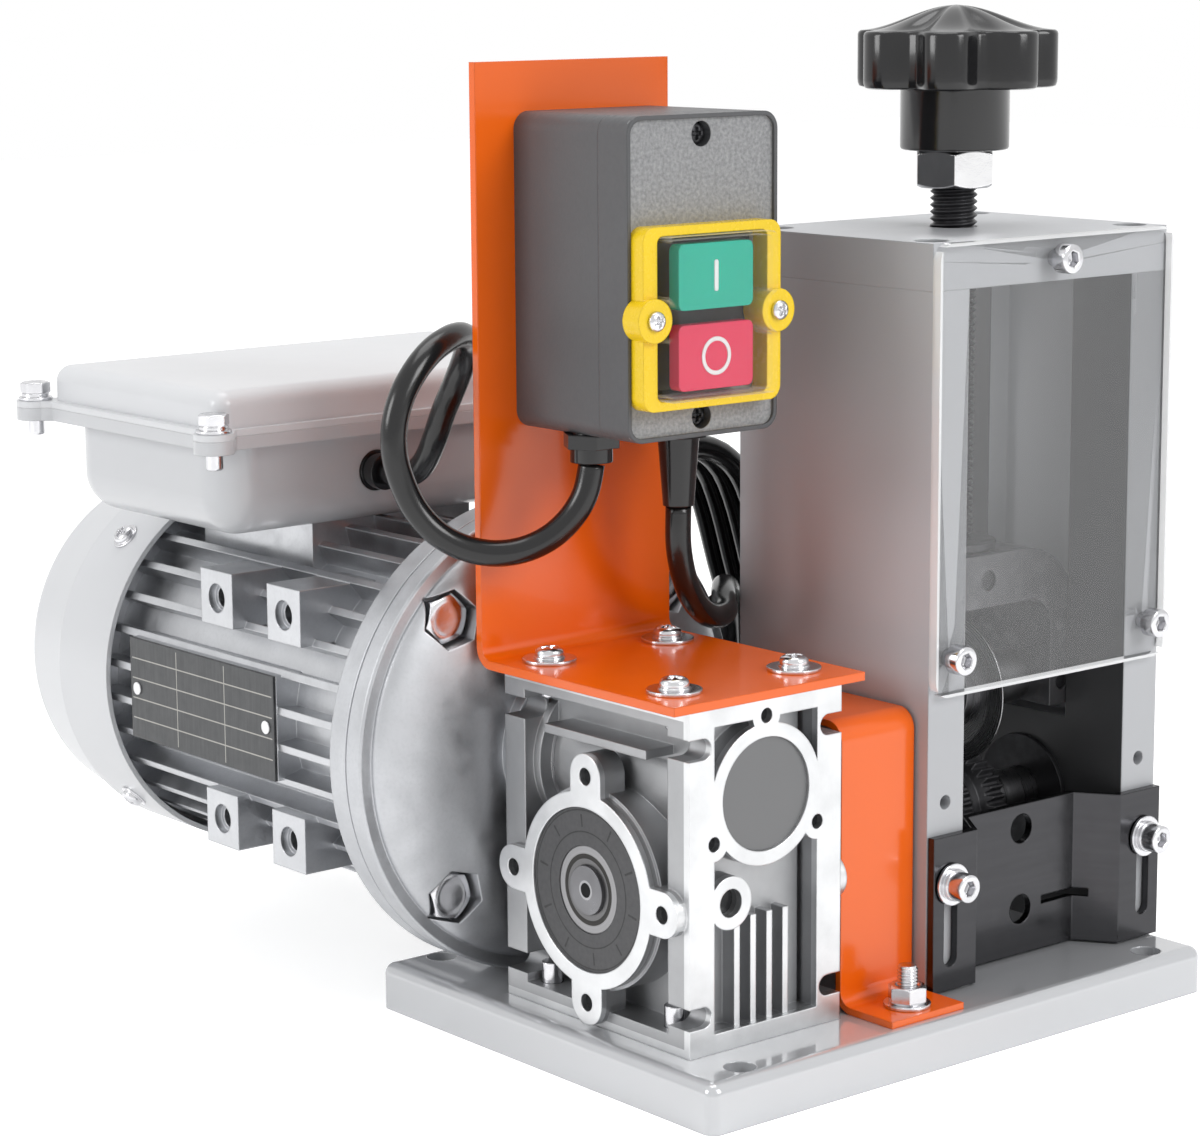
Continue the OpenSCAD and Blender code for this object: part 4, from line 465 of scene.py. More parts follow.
def lid_fasteners():
    """Hexagon screws with two washers each through the lid's corner lugs."""
    wide, small = 1.0, 1.2
    parts = []
    for i, (sx, sy) in enumerate(CORNERS):
        at = np.array([LID_X + sx * LUG_X, LID_Y + sy * LUG_Y, LID_Z + LID_T])
        screw = hex_screw(d=5, l=13, af=8, h=3.4)
        parts += [placed(washer(d=10.5, bore=5.2, t=wide), at),
                  placed(washer(d=8.6, bore=5.1, t=small), at + [0, 0, wide]),
                  placed(screw, at + [0, 0, wide + small], x=flat_turn(11 + 23 * i))]
    zinc_screws("lid_hex_screws", parts, "lid_screws")


def cowl_fasteners():
    """Cross screws round the cowl's band, pointing at the motor's axis."""
    parts = []
    for k in range(4):
        out = round_motor(k)[0]
        at = np.array([GEAR_X, COWL_SCREW_Y, WORM_Z]) + out * COWL_SCREW_R
        parts += [placed(washer(d=9, bore=4.2, t=0.8), at - out * 0.2, out),
                  placed(cross_screw(d=4, l=7, head_d=7, head_h=2.4), at + out * 0.5, out)]
    zinc_screws("cowl_cross_screws", parts, "cowl_screws")


def carved(obj, cutters):
    """The piece less the cutters, as a plain mesh; the cutters are removed."""
    for c in cutters:
        m = obj.modifiers.new("cut", "BOOLEAN")
        m.operation, m.solver, m.object = "DIFFERENCE", "EXACT", c
    shape = bpy.data.meshes.new_from_object(obj.evaluated_get(bpy.context.evaluated_depsgraph_get()))
    obj.modifiers.clear()
    obj.data = shape
    for c in cutters:
        bpy.data.objects.remove(c)
    smooth_faces(shape, CREASE)
    return obj


def flange_dome():
    """Cast input flange: a profile turned round the worm's axis, r = 26 + 40 sin a and
    y = 4.1 + 8.9 (1 - cos a) between neck and rim, with four hexagon pockets that point a corner
    outwards, each with its bolt."""
    middle = np.array([GEAR_X, FLANGE_BACK, WORM_Z])
    bore, neck, rim, step = 17, 26, 70, 47.5
    a = np.linspace(0, np.pi / 2, 40)
    line = [(bore, 0), (neck, 0)] + list(zip(neck + 40 * np.sin(a), 4.1 + 8.9 * (1 - np.cos(a))))
    line += [(rim - 0.6, 13), (rim, 13.6), (rim, 19.4), (rim - 0.6, FLANGE_L), (step, FLANGE_L),
             (step, 17), (bore, 17)]
    verts, faces = placed(stack(line[::-1], 144, loop=True), middle, (0, 1, 0))
    hexa, deep = hexagon(POCKET_AF), FLANGE_L - POCKET_FLOOR
    well = stack([(0, -1), (hexa, -1), (hexa, deep), (4.3, deep), (4.3, FLANGE_L + 1), (0, FLANGE_L + 1)])
    bolts, cutters = [], []
    for k in range(4):
        out, side = round_motor(k)
        at = middle + out * BOLT_CIRCLE / 2
        x = out * math.cos(math.pi / 6) + side * math.sin(math.pi / 6)
        cutters.append(mesh_piece("well", *placed(well, at, (0, 1, 0), x)))
        bolts.append(placed(hex_screw(d=8, l=20, af=13, h=5.3), at + [0, deep, 0], FRONT, x))
    dome = carved(mesh_piece("input_flange_casting", verts, [f[::-1] for f in faces], CREASE), cutters)
    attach(dome, "stand")
    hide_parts("input_flange")
    LATER.append((dome, "flange_metal"))
    zinc_screws("flange_hex_bolts", bolts, "flange_bolts")


def switch_fasteners():
    """Cross screws of the yellow frame, of the box cover and of the box on its bracket; the cover's
    screws, deep in their wells, are black as painted shade.
    """
    parts, cover = [], []
    for side, turn in ((-1, 0.3), (1, 1.0)):
        ear = (FRAME_X + side * EAR_X, BOX_FRONT - FRAME_T, FRAME_Z)
        parts.append(placed(cross_screw(d=4, l=10, head_d=5.6, head_h=2.0), ear, FRONT, front_turn(turn)))
    for side in (-1, 1):
        well = (BOX_X, BOX_FRONT + WELL_FLOOR, BOX_Z + side * COVER_SCREW)
        wall = (BOX_X, BOX_BACK, BOX_Z + side * BACK_SCREW)
        cover.append(placed(cross_screw(d=4, l=18, head_d=6.6, head_h=2.4), well, FRONT))
        parts.append(placed(cross_screw(d=4, l=7, head_d=6.8, head_h=2.4), wall, FRONT))
    zinc_screws("switch_cross_screws", parts, "switch_screws")
    # Painted shade: the cover's screws get black steel to stand for the shade in their deep wells.
    piece("shaded_cover_screws", cover, "stand", "black_steel")


def tower_fasteners():
    """Cap screws of the clear pane and of the wire guide, with the guide's wide washers."""
    screw = socket_screw(d=5, l=8, head_d=8.5, h=5, key=4)
    parts = [placed(screw, (x, TOWER_FRONT - PANE_T, z), FRONT, front_turn(turn))
             for (x, z), turn in zip(PANE_SCREWS, (0.2, 0.7, 0.45))]
    zinc_screws("pane_cap_screws", parts, "guard_screws")
    screw = socket_screw(d=5, l=12, head_d=8.5, h=5, key=4)
    wide, small = 1.1, 1.3
    parts = []
    for x, turn in zip(GUIDE_SCREW_X, (0.5, 0.15)):
        at = np.array([x, TOWER_FRONT - GUIDE_T, GUIDE_SCREW_Z])
        parts += [placed(washer(d=12.4, bore=5.3, t=wide), at, FRONT),
                  placed(washer(d=9.2, bore=5.2, t=small), at - [0, wide, 0], FRONT),
                  placed(screw, at - [0, wide + small, 0], FRONT, front_turn(turn))]
    zinc_screws("guide_cap_screws", parts, "guide_screws")


def guard_stud():
    """Threaded stud through the guard's foot with washer and nut above and a nut below."""
    at, foot, flat, below = np.array(STUD_AT), 2.0, 1.2, 7.3
    parts = [placed(washer(d=13.6, bore=6.3, t=flat), at + [0, 0, foot]),
             placed(nut(af=10, h=5, bore=6), at + [0, 0, foot + flat], x=(0.9, 0.4, 0)),
             placed(thread(d=6, pitch=1.0, low=-2.5, high=14.0, deep=0.5), at),
             placed(nut(af=10, h=4.8, bore=6), at - [0, 0, below])]
    zinc_screws("guard_stud", parts, "guard_fastener")


bracket_fasteners()
lid_fasteners()
cowl_fasteners()
flange_dome()
switch_fasteners()
tower_fasteners()
guard_stud()

# Adjuster, jam nut and knob

SPINDLE_AT = (TOWER_X, AXIS_Y, 0)
TIP_LOW, COLLAR_LOW, THREAD_LOW, THREAD_TOP = 122.2, 134.5, 137.0, 268.0
JAM_NUT_LOW, KNOB_LOW = 242, 253


def adjuster():
    """Threaded spindle with its thrust washer and grooved tip, and a bright jam nut."""
    tip = stack([(0, TIP_LOW), (6.1, TIP_LOW), (6.5, 122.6), (6.5, 123.2), (4.5, 123.2), (4.5, 129.2),
                 (6.5, 129.2), (6.5, COLLAR_LOW), (0, COLLAR_LOW)])
    collar = stack([(0, COLLAR_LOW), (13.7, COLLAR_LOW), (14, 134.8), (14, 136.7), (13.7, THREAD_LOW),
                    (0, THREAD_LOW)])
    rod = thread(d=14, pitch=2.0, low=THREAD_LOW, high=THREAD_TOP, deep=1.1)
    piece("spindle_thread", [placed(part, SPINDLE_AT) for part in (tip, collar, rod)],
          "spindle", "black_steel", ["adjusting_screw"])
    jam_nut = placed(nut(af=22, h=11, bore=13.4), (TOWER_X, AXIS_Y, JAM_NUT_LOW), x=(0.96, 0.27, 0))
    piece("jam_nut", [jam_nut], "spindle", "chrome")


def knob():
    """Star knob: its outline is the far side of round lobes met by round hollows, smoothed; the
    sides stand upright, and the top rises in one S-shaped curve from the edge to the middle."""
    sides, part = 210, 2 * np.pi / 7
    lobe_at, lobe_r, hollow_at, hollow_r = 21.5, 8.5, 30, 6.5
    beyond, edge, rise = 99, 34.5, 7.3
    a = angles(sides)
    near = (a + part / 2) % part - part / 2
    lobe = lobe_at * np.cos(near) + np.sqrt(np.maximum(lobe_r ** 2 - (lobe_at * np.sin(near)) ** 2, 0))
    off = a % part - part / 2
    dip = hollow_r ** 2 - (hollow_at * np.sin(off)) ** 2
    hollow = np.where(dip > 0, hollow_at * np.cos(off) - np.sqrt(np.maximum(dip, 0)), beyond)
    r = np.minimum(np.where(np.abs(near) < 0.4, lobe, beyond), hollow)
    r = np.minimum(r, lobe_at + lobe_r)
    for _ in range(3):
        r = (np.roll(r, 1) + 2 * r + np.roll(r, -1)) / 4
    rings = [(0, 0), (7.4, 0), (15.2, 0), (15.8, 0.3), (16, 1.0), (16, 17.2), (16.6, 18), (r - 1.6, 18),
             (r - 0.5, 18.4), (r - 0.1, 19.4), (r, 20.5), (r, 33.4), (r - 0.25, 34.1), (r - 0.8, edge)]
    rings += [(r * q * (1 + 0.02 * q), edge + rise * (1 + np.cos(np.pi * q)) / 2)
              for q in np.linspace(0.95, 0.06, 16)]
    rings.append((0, 41.9))
    piece("knob_head", [placed(stack(rings, sides), (TOWER_X, AXIS_Y, KNOB_LOW), x=(0.97, 0.22, 0))],
          "spindle", "black_plastic", ["star_knob"], 40)


adjuster()
knob()

# Button marks


def button_marks():
    """A white stroke on the start button and a white ring on the stop button, 0.15 mm proud."""
    sunk, proud = -0.1, 0.15
    bar = oblong(1.5, 8.6, 0.4)
    stroke = stack([(0, sunk), (bar, sunk), (bar, proud), (0, proud)], 64)
    ring = stack([(4.1, sunk), (5.3, sunk), (5.3, proud), (4.1, proud)], 64, loop=True)
    for body, mark, up, slot in (("start", stroke, BUTTON_APART, "green_plastic"),
                                 ("stop", ring, -BUTTON_APART, "red_plastic")):
        at = (FRAME_X, BUTTON_FRONT, FRAME_Z + up)
        piece(body + "_mark", [placed(mark, at, FRONT)], body, "white_print")


button_marks()

# Finishes

# Places where a finish changes, in millimetres
FAR_AWAY = 1000
# Inner faces of the tower's side plates, which are painted dark as shade, and how far their front edges
# stay light
INNER_HALF, EDGE_SKIN = 34.05, 0.25
# Cast skin of the gearbox along X, Y and Z
SKIN_HALF, SKIN_FRONT, SKIN_HEIGHTS = 29.6, -52.2, (16.5, 108.0)
# Front panel of the switch box about its middle
PANEL_HALF_X, PANEL_HALF_Z, PANEL_T = 26.2, 43.15, 0.15
# Rivet heads of the nameplate along X
RIVET_HEADS = (-119.9, -119.15)
GREY_PLASTIC = (0.085, 0.087, 0.092)


class Finish:
    """Small helper that wires one procedural material on Object coordinates. Fac and value are
    sockets between 0 and 1, and grains are counted a metre."""

    def __init__(self, name, color, rough, metal=0.0, edge=0.6, **sockets):
        self.mat = bpy.data.materials.new(name)
        self.mat.use_nodes = True
        self.tree = self.mat.node_tree
        self.link = self.tree.links.new
        self.shader = self.tree.nodes["Principled BSDF"]
        self.color = color
        self.preset(self.shader, Base_Color=(*color, 1.0), Roughness=rough, Metallic=metal, **sockets)
        self.here = self.tree.nodes.new("ShaderNodeTexCoord").outputs["Object"]
        if edge:
            soft = self.node("Bevel", Radius=edge * MM)
            soft.samples = 6
            self.link(soft.outputs["Normal"], self.shader.inputs["Normal"])

    def preset(self, node, **values):
        """Sets inputs by name, with a low line for a space."""
        for k, v in values.items():
            node.inputs[k.replace("_", " ")].default_value = v

    def node(self, kind, **values):
        """New node with the inputs named set to their values."""
        n = self.tree.nodes.new("ShaderNode" + kind)
        self.preset(n, **values)
        return n

    def math(self, operation, *values):
        """Math node of sockets or numbers."""
        m = self.node("Math")
        m.operation = operation
        for k, v in enumerate(values):
            if hasattr(v, "links"):
                self.link(v, m.inputs[k])
            else:
                m.inputs[k].default_value = v
        return m.outputs[0]

    def spread(self, value, low, high, start=0.0, end=1.0):
        """What lies between start and end, carried to between low and high."""
        r = self.node("MapRange", From_Min=start, From_Max=end, To_Min=low, To_Max=high)
        self.link(value, r.inputs["Value"])
        return r.outputs["Result"]

    def stretch(self, scale):
        """Object coordinates stretched along the axes."""
        m = self.node("Mapping", Scale=scale)
        self.link(self.here, m.inputs["Vector"])
        return m.outputs["Vector"]

    def noise(self, grains, detail=3.0, vector=None, start=0.3, end=0.7):
        """Noise, its grey spread to the full range between start and end."""
        n = self.node("TexNoise", Scale=grains, Detail=detail, Roughness=0.55)
        self.link(vector or self.here, n.inputs["Vector"])
        return self.spread(n.outputs["Fac"], 0.0, 1.0, start, end)

    def tint(self, fac, other, amount=1.0):
        """Mixes another colour in where fac is high."""
        mix = self.node("Mix")
        mix.data_type = "RGBA"
        self.link(self.math("MULTIPLY", fac, amount), mix.inputs["Factor"])
        base = self.shader.inputs["Base Color"]
        if base.links:
            self.link(base.links[0].from_socket, mix.inputs["A"])
        else:
            mix.inputs["A"].default_value = (*self.color, 1.0)
        mix.inputs["B"].default_value = (*other, 1.0)
        self.link(mix.outputs["Result"], base)
        return self

    def shade(self, fac, share, amount=1.0):
        """Mixes in that share of the finish's own colour where fac is high."""
        return self.tint(fac, tuple(min(1, c * share) for c in self.color), amount)

    def roughen(self, fac, low, high):
        """Roughness between low and high."""
        self.link(self.spread(fac, low, high), self.shader.inputs["Roughness"])
        return self

    def bump(self, fac, millimetres):
        """Raises the surface by so many millimetres where fac is high."""
        b = self.node("Bump", Distance=millimetres * MM, Strength=1.0)
        self.link(fac, b.inputs["Height"])
        normal = self.shader.inputs["Normal"]
        if normal.links:
            self.link(normal.links[0].from_socket, b.inputs["Normal"])
        self.link(b.outputs["Normal"], normal)
        return self

    def place(self):
        """The three Object coordinates in metres."""
        n = self.node("SeparateXYZ")
        self.link(self.here, n.inputs[0])
        return n.outputs

    def between(self, value, low, high):
        """1 where the value lies between two numbers, else 0."""
        return self.math("COMPARE", value, (low + high) / 2, (high - low) / 2)

    def band(self, far, low, high):
        """1 where a distance in metres lies between two numbers of millimetres, else 0."""
        return self.between(far, low * MM, high * MM)

    def within(self, **spans):
        """1 where the place lies between the millimetres given for each axis, else 0."""
        p, whole = self.place(), 1.0
        for axis, (low, high) in spans.items():
            whole = self.math("MULTIPLY", self.band(p["xyz".index(axis)], low, high), whole)
        return whole

    def around(self, y, z):
        """Distance from an axis along X through y and z, and the turn round it."""
        p = self.place()
        dy, dz = self.math("SUBTRACT", p[1], y * MM), self.math("SUBTRACT", p[2], z * MM)
        squares = self.math("ADD", self.math("MULTIPLY", dy, dy), self.math("MULTIPLY", dz, dz))
        return self.math("SQRT", squares), self.math("ARCTAN2", dy, dz)

    def rings(self, far, grains):
        """Noise that depends on a distance alone: fine rings."""
        c = self.node("CombineXYZ")
        self.link(far, c.inputs[0])
        return self.noise(grains, 2.0, c.outputs[0])

    def lines(self, scale, detail=2.0):
        """Noise drawn out along one direction."""
        return self.noise(1.0, detail, self.stretch(scale))


def powder_coat(name, color, rough, peel, coat=0.0, dark=0.93, metal=0.0):
    """Sprayed and baked paint: long soft waves, tiny pits and a slight change of tone."""
    f = Finish(name, color, rough, metal, Coat_Weight=coat, Coat_Roughness=0.05)
    f.shade(f.noise(18), dark, 0.5)
    f.roughen(f.noise(90, 4.0), rough * 0.95, rough * 1.06)
    f.bump(f.noise(260, 2.0), peel).bump(f.noise(1400, 2.0), peel * 0.25)
    return f.mat


def plate_coat_with_inner_shade(name, color, inside):
    """Sprayed side plates of the tower, with painted shade: the faces that look at each other are tinted
    nearly black.
    """
    f = Finish(name, color, 0.36, Coat_Weight=0.12, Coat_Roughness=0.15)
    f.shade(f.noise(18), 0.93, 0.5)
    # Painted shade: the plates' faces that look into the tower are tinted the near-black colour given.
    inner = f.within(x=(TOWER_X - INNER_HALF, TOWER_X + INNER_HALF), y=(TOWER_FRONT + EDGE_SKIN, FAR_AWAY))
    f.tint(inner, inside)
    f.roughen(f.noise(90, 4.0), 0.34, 0.38)
    f.bump(f.noise(260, 2.0), 0.008)
    return f.mat


def cast_metal(name, color, rough, grain):
    """Die-cast metal: fine grain, soft stains and spots where the die cooled."""
    f = Finish(name, color, rough, 1.0)
    f.shade(f.noise(55, 5.0), 0.86, 0.8)
    f.shade(f.noise(900, 2.0, start=0.45, end=0.75), 0.8, 0.35)
    f.roughen(f.noise(120, 5.0), rough * 0.8, rough * 1.25)
    f.bump(f.noise(1300), grain).bump(f.noise(180), grain)
    return f.mat


def gear_casting(name, faced, skin):
    """Die-cast gearbox: bright faces on its outer planes, and a duller, darker cast skin on all
    that lies about 2.5 mm or more inside them."""
    f = Finish(name, faced, 0.36, 1.0)
    deep = f.within(x=(GEAR_X - SKIN_HALF, GEAR_X + SKIN_HALF), y=(SKIN_FRONT, FAR_AWAY), z=SKIN_HEIGHTS)
    f.tint(deep, skin)
    f.tint(f.noise(55, 5.0), tuple(c * 0.7 for c in skin), 0.35)
    f.roughen(f.math("MULTIPLY_ADD", deep, 0.5, f.math("MULTIPLY", f.noise(120, 5.0), 0.5)), 0.30, 0.52)
    f.bump(f.noise(1300), 0.014).bump(f.noise(180), 0.014)
    return f.mat


def turned_metal(name, color, rough, stretch, groove=0.004):
    """Turned or ground steel: fine lines along one direction."""
    f = Finish(name, color, rough, 1.0)
    lines = f.lines(stretch)
    f.shade(lines, 0.82, 0.5)
    f.roughen(f.noise(150, 4.0), rough * 0.8, rough * 1.3)
    f.bump(lines, groove)
    return f.mat


def plated_steel(name, color, rough):
    """Zinc plated screws: bright with faint clouds."""
    f = Finish(name, color, rough, 1.0)
    f.shade(f.noise(350), 0.85, 0.6)
    f.roughen(f.noise(500), rough * 0.75, rough * 1.3)
    f.bump(f.noise(1800, 2.0), 0.003)
    return f.mat


def black_oxide(name, color, rough):
    """Blackened steel: dark, with worn lighter clouds and a dull shine."""
    f = Finish(name, color, rough, 0.6)
    f.shade(f.noise(200, 5.0, start=0.5, end=0.8), 2.2, 0.6)
    f.roughen(f.noise(300, 4.0), rough * 0.8, rough * 1.25)
    f.bump(f.noise(1500, 2.0), 0.006)
    return f.mat


def moulded_plastic(name, color, rough, relief, grains=900):
    """Moulded plastic: even colour, spark-eroded grain."""
    f = Finish(name, color, rough)
    f.shade(f.noise(40), 0.9, 0.6)
    f.roughen(f.noise(grains * 0.6, 2.0), rough * 0.9, rough * 1.12)
    f.bump(f.noise(grains, 2.0), relief)
    return f.mat


def clear_sheet(name, haze, rim, rough, box=None):
    """Thin clear sheet that lets light through: hardly there face on, whiter where it is seen along its
    surface as a painted reflection, and milky at the sawn border of its box, with faint scuffs in its
    shine."""
    f = Finish(name, (0.95, 0.96, 0.97), rough, edge=0, IOR=1.9)
    flat = f.node("NewGeometry").outputs["True Normal"]
    f.link(flat, f.shader.inputs["Normal"])
    grazing_white = f.node("LayerWeight", Blend=0.35)
    f.link(flat, grazing_white.inputs["Normal"])
    # Painted reflection: the sheet grows whiter and less clear where it is seen along its surface.
    alpha = f.spread(grazing_white.outputs["Facing"], haze, rim, 0.35)
    if box:
        low, high = (np.array(corner) / MM for corner in box)
        border = 0.9
        middle = f.within(x=(low[0] + border, high[0] - border), z=(low[2] + border, high[2] - border))
        alpha = f.math("MAXIMUM", alpha, f.math("MULTIPLY", f.math("SUBTRACT", 1.0, middle), rim))
    f.link(alpha, f.shader.inputs["Alpha"])
    f.roughen(f.noise(60, 5.0), rough * 0.6, rough * 1.6)
    return f.mat


def ring_brushed(name, color, rough, y, z):
    """Steel turned round an axis along X: fine rings about it."""
    f = Finish(name, color, rough, 1.0, 0.4)
    lines = f.rings(f.around(y, z)[0], 2600)
    f.shade(lines, 0.72, 0.6)
    f.roughen(lines, rough * 0.75, rough * 1.35)
    f.bump(lines, 0.006)
    return f.mat


def seal_face(name):
    """Moulded rubber of the big shaft seal: ten short strokes and two fine rings pressed into it, and
    tinted darker as painted shade in them.
    """
    f = Finish(name, (0.062, 0.062, 0.066), 0.5)
    far, turn = f.around(AXIS_Y, OUT_Z)
    part = f.math("FRACT", f.math("MULTIPLY_ADD", turn, 10 / (2 * math.pi), 10.3))
    stroke = f.math("MULTIPLY", f.between(part, 0.475, 0.525), f.band(far, 17.8, 21.4))
    ring = f.math("MAXIMUM", f.band(far, 16.3, 16.7), f.band(far, 22.4, 22.8))
    mark = f.math("MAXIMUM", stroke, ring)
    # Painted shade: the pressed marks are tinted darker than the rubber.
    f.tint(f.noise(60), (0.05, 0.05, 0.053), 0.7).tint(mark, (0.012, 0.012, 0.013), 0.9)
    f.roughen(f.noise(700, 2.0), 0.42, 0.6)
    f.bump(f.noise(1100, 2.0), 0.006).bump(f.math("SUBTRACT", 1.0, mark), 0.12)
    return f.mat


def wheel_metal(name):
    """Bronze teeth on a steel hub, whose end has a bright ring between two grooves painted dark as their
    shade.
    """
    f = Finish(name, (0.70, 0.45, 0.18), 0.3, 1.0)
    far = f.around(AXIS_Y, OUT_Z)[0]
    # Painted shade: the two grooves are flat rings tinted nearly black.
    groove_shade = f.math("MAXIMUM", f.band(far, 8.8, 10.2), f.band(far, 13.3, 14.2))
    f.tint(f.band(far, -1000, 16), (0.15, 0.15, 0.155))
    f.tint(f.band(far, 10.2, 13.3), (0.30, 0.30, 0.31)).tint(groove_shade, (0.03, 0.03, 0.03))
    lines = f.rings(far, 1800)
    f.tint(lines, (0.10, 0.09, 0.08), 0.3)
    f.roughen(lines, 0.26, 0.4)
    f.bump(lines, 0.005)
    return f.mat


def shaft_metal(name):
    """Dark turned steel with a centre hole and a chamfer ring at its end; the hole is painted nearly black
    as its shade.
    """
    f = Finish(name, (0.20, 0.20, 0.21), 0.32, 1.0, 0.4)
    far, end = f.around(AXIS_Y, OUT_Z)[0], f.within(x=(-120, -90.5))
    hole = f.math("MULTIPLY", end, f.band(far, -1000, 2.1))
    rim = f.math("MULTIPLY", end, f.band(far, 2.1, 2.8))
    lines = f.lines((1500, 80, 80))
    # Painted shade: the centre hole is tinted nearly black; the chamfer ring is lighter.
    f.tint(lines, (0.13, 0.13, 0.135), 0.6).tint(rim, (0.34, 0.34, 0.35)).tint(hole, (0.01, 0.01, 0.01))
    f.roughen(lines, 0.25, 0.42)
    f.bump(lines, 0.004).bump(f.math("SUBTRACT", 1.0, hole), 0.4)
    return f.mat


def switch_cover_plastic(name):
    """Grey moulded cover: its front panel has a coarse spark-eroded grain and is lighter, and its grain is
    painted lighter still as glints of light.
    """
    f = Finish(name, GREY_PLASTIC, 0.48)
    panel = f.within(x=(BOX_X - PANEL_HALF_X, BOX_X + PANEL_HALF_X),
                     y=(BOX_FRONT - PANEL_T, BOX_FRONT + PANEL_T),
                     z=(BOX_Z - PANEL_HALF_Z, BOX_Z + PANEL_HALF_Z))
    grain = f.noise(950)
    panel_grain_glints = f.math("MULTIPLY", panel, grain)
    f.tint(f.noise(40), (0.075, 0.077, 0.082), 0.6)
    # Painted highlights: the panel's grain is tinted light grey in specks as glints.
    f.tint(panel, (0.20, 0.203, 0.21)).tint(panel_grain_glints, (0.40, 0.403, 0.41), 0.7)
    f.roughen(f.noise(600, 2.0), 0.40, 0.54)
    f.bump(grain, 0.02).bump(panel_grain_glints, 0.05)
    return f.mat


def ruled_plate(name, box):
    """Dark plate with an empty printed table: fine light lines on the plate's own rows, no words."""
    f = Finish(name, (0.085, 0.087, 0.09), 0.38, 0.7, 0.3)
    (y0, z0), (y1, z1) = ((float(corner[1]), float(corner[2])) for corner in box)
    p = f.place()
    across, up = f.math("SUBTRACT", p[1], y0), f.math("SUBTRACT", p[2], z0)
    c = f.node("CombineXYZ")
    f.link(across, c.inputs[0])
    f.link(up, c.inputs[1])
    table = f.node("TexBrick", Scale=1.0, Brick_Width=(y1 - y0) / 3, Row_Height=(z1 - z0) / 5,
                   Mortar_Size=0.22 * MM, Mortar_Smooth=0.2)
    table.offset, table.squash = 0.0, 1.0
    f.link(c.outputs[0], table.inputs["Vector"])
    inside = f.math("MULTIPLY", f.between(across, MM, y1 - y0 - MM), f.between(up, MM, z1 - z0 - MM))
    f.tint(f.lines((60, 900, 60)), (0.06, 0.062, 0.064), 0.6)
    f.tint(f.math("MULTIPLY", table.outputs["Fac"], inside), (0.42, 0.41, 0.38), 0.8)
    f.tint(f.within(x=RIVET_HEADS), (0.75, 0.75, 0.76))
    f.roughen(f.noise(300), 0.32, 0.46)
    return f.mat


def woven_strap(name, color):
    """Hook and loop strap: short fibres and a fine weave, dull."""
    f = Finish(name, color, 0.85, 0.0, 0.2)
    f.shade(f.noise(1500), 2.5, 0.7)
    f.roughen(f.noise(700, 2.0), 0.75, 0.95)
    f.bump(f.noise(2200), 0.15)
    return f.mat


def laminated_iron(name, color, rough):
    """Stack of thin sheets: fine rings across the motor's length."""
    f = Finish(name, color, rough, 0.8)
    sheets = f.lines((30, 1600, 30), 1.0)
    f.shade(sheets, 0.6, 0.8)
    f.roughen(f.noise(90), rough * 0.8, rough * 1.2)
    f.bump(sheets, 0.05)
    return f.mat


BLADE_AXIS = (AXIS_Y, BLADE_Z)
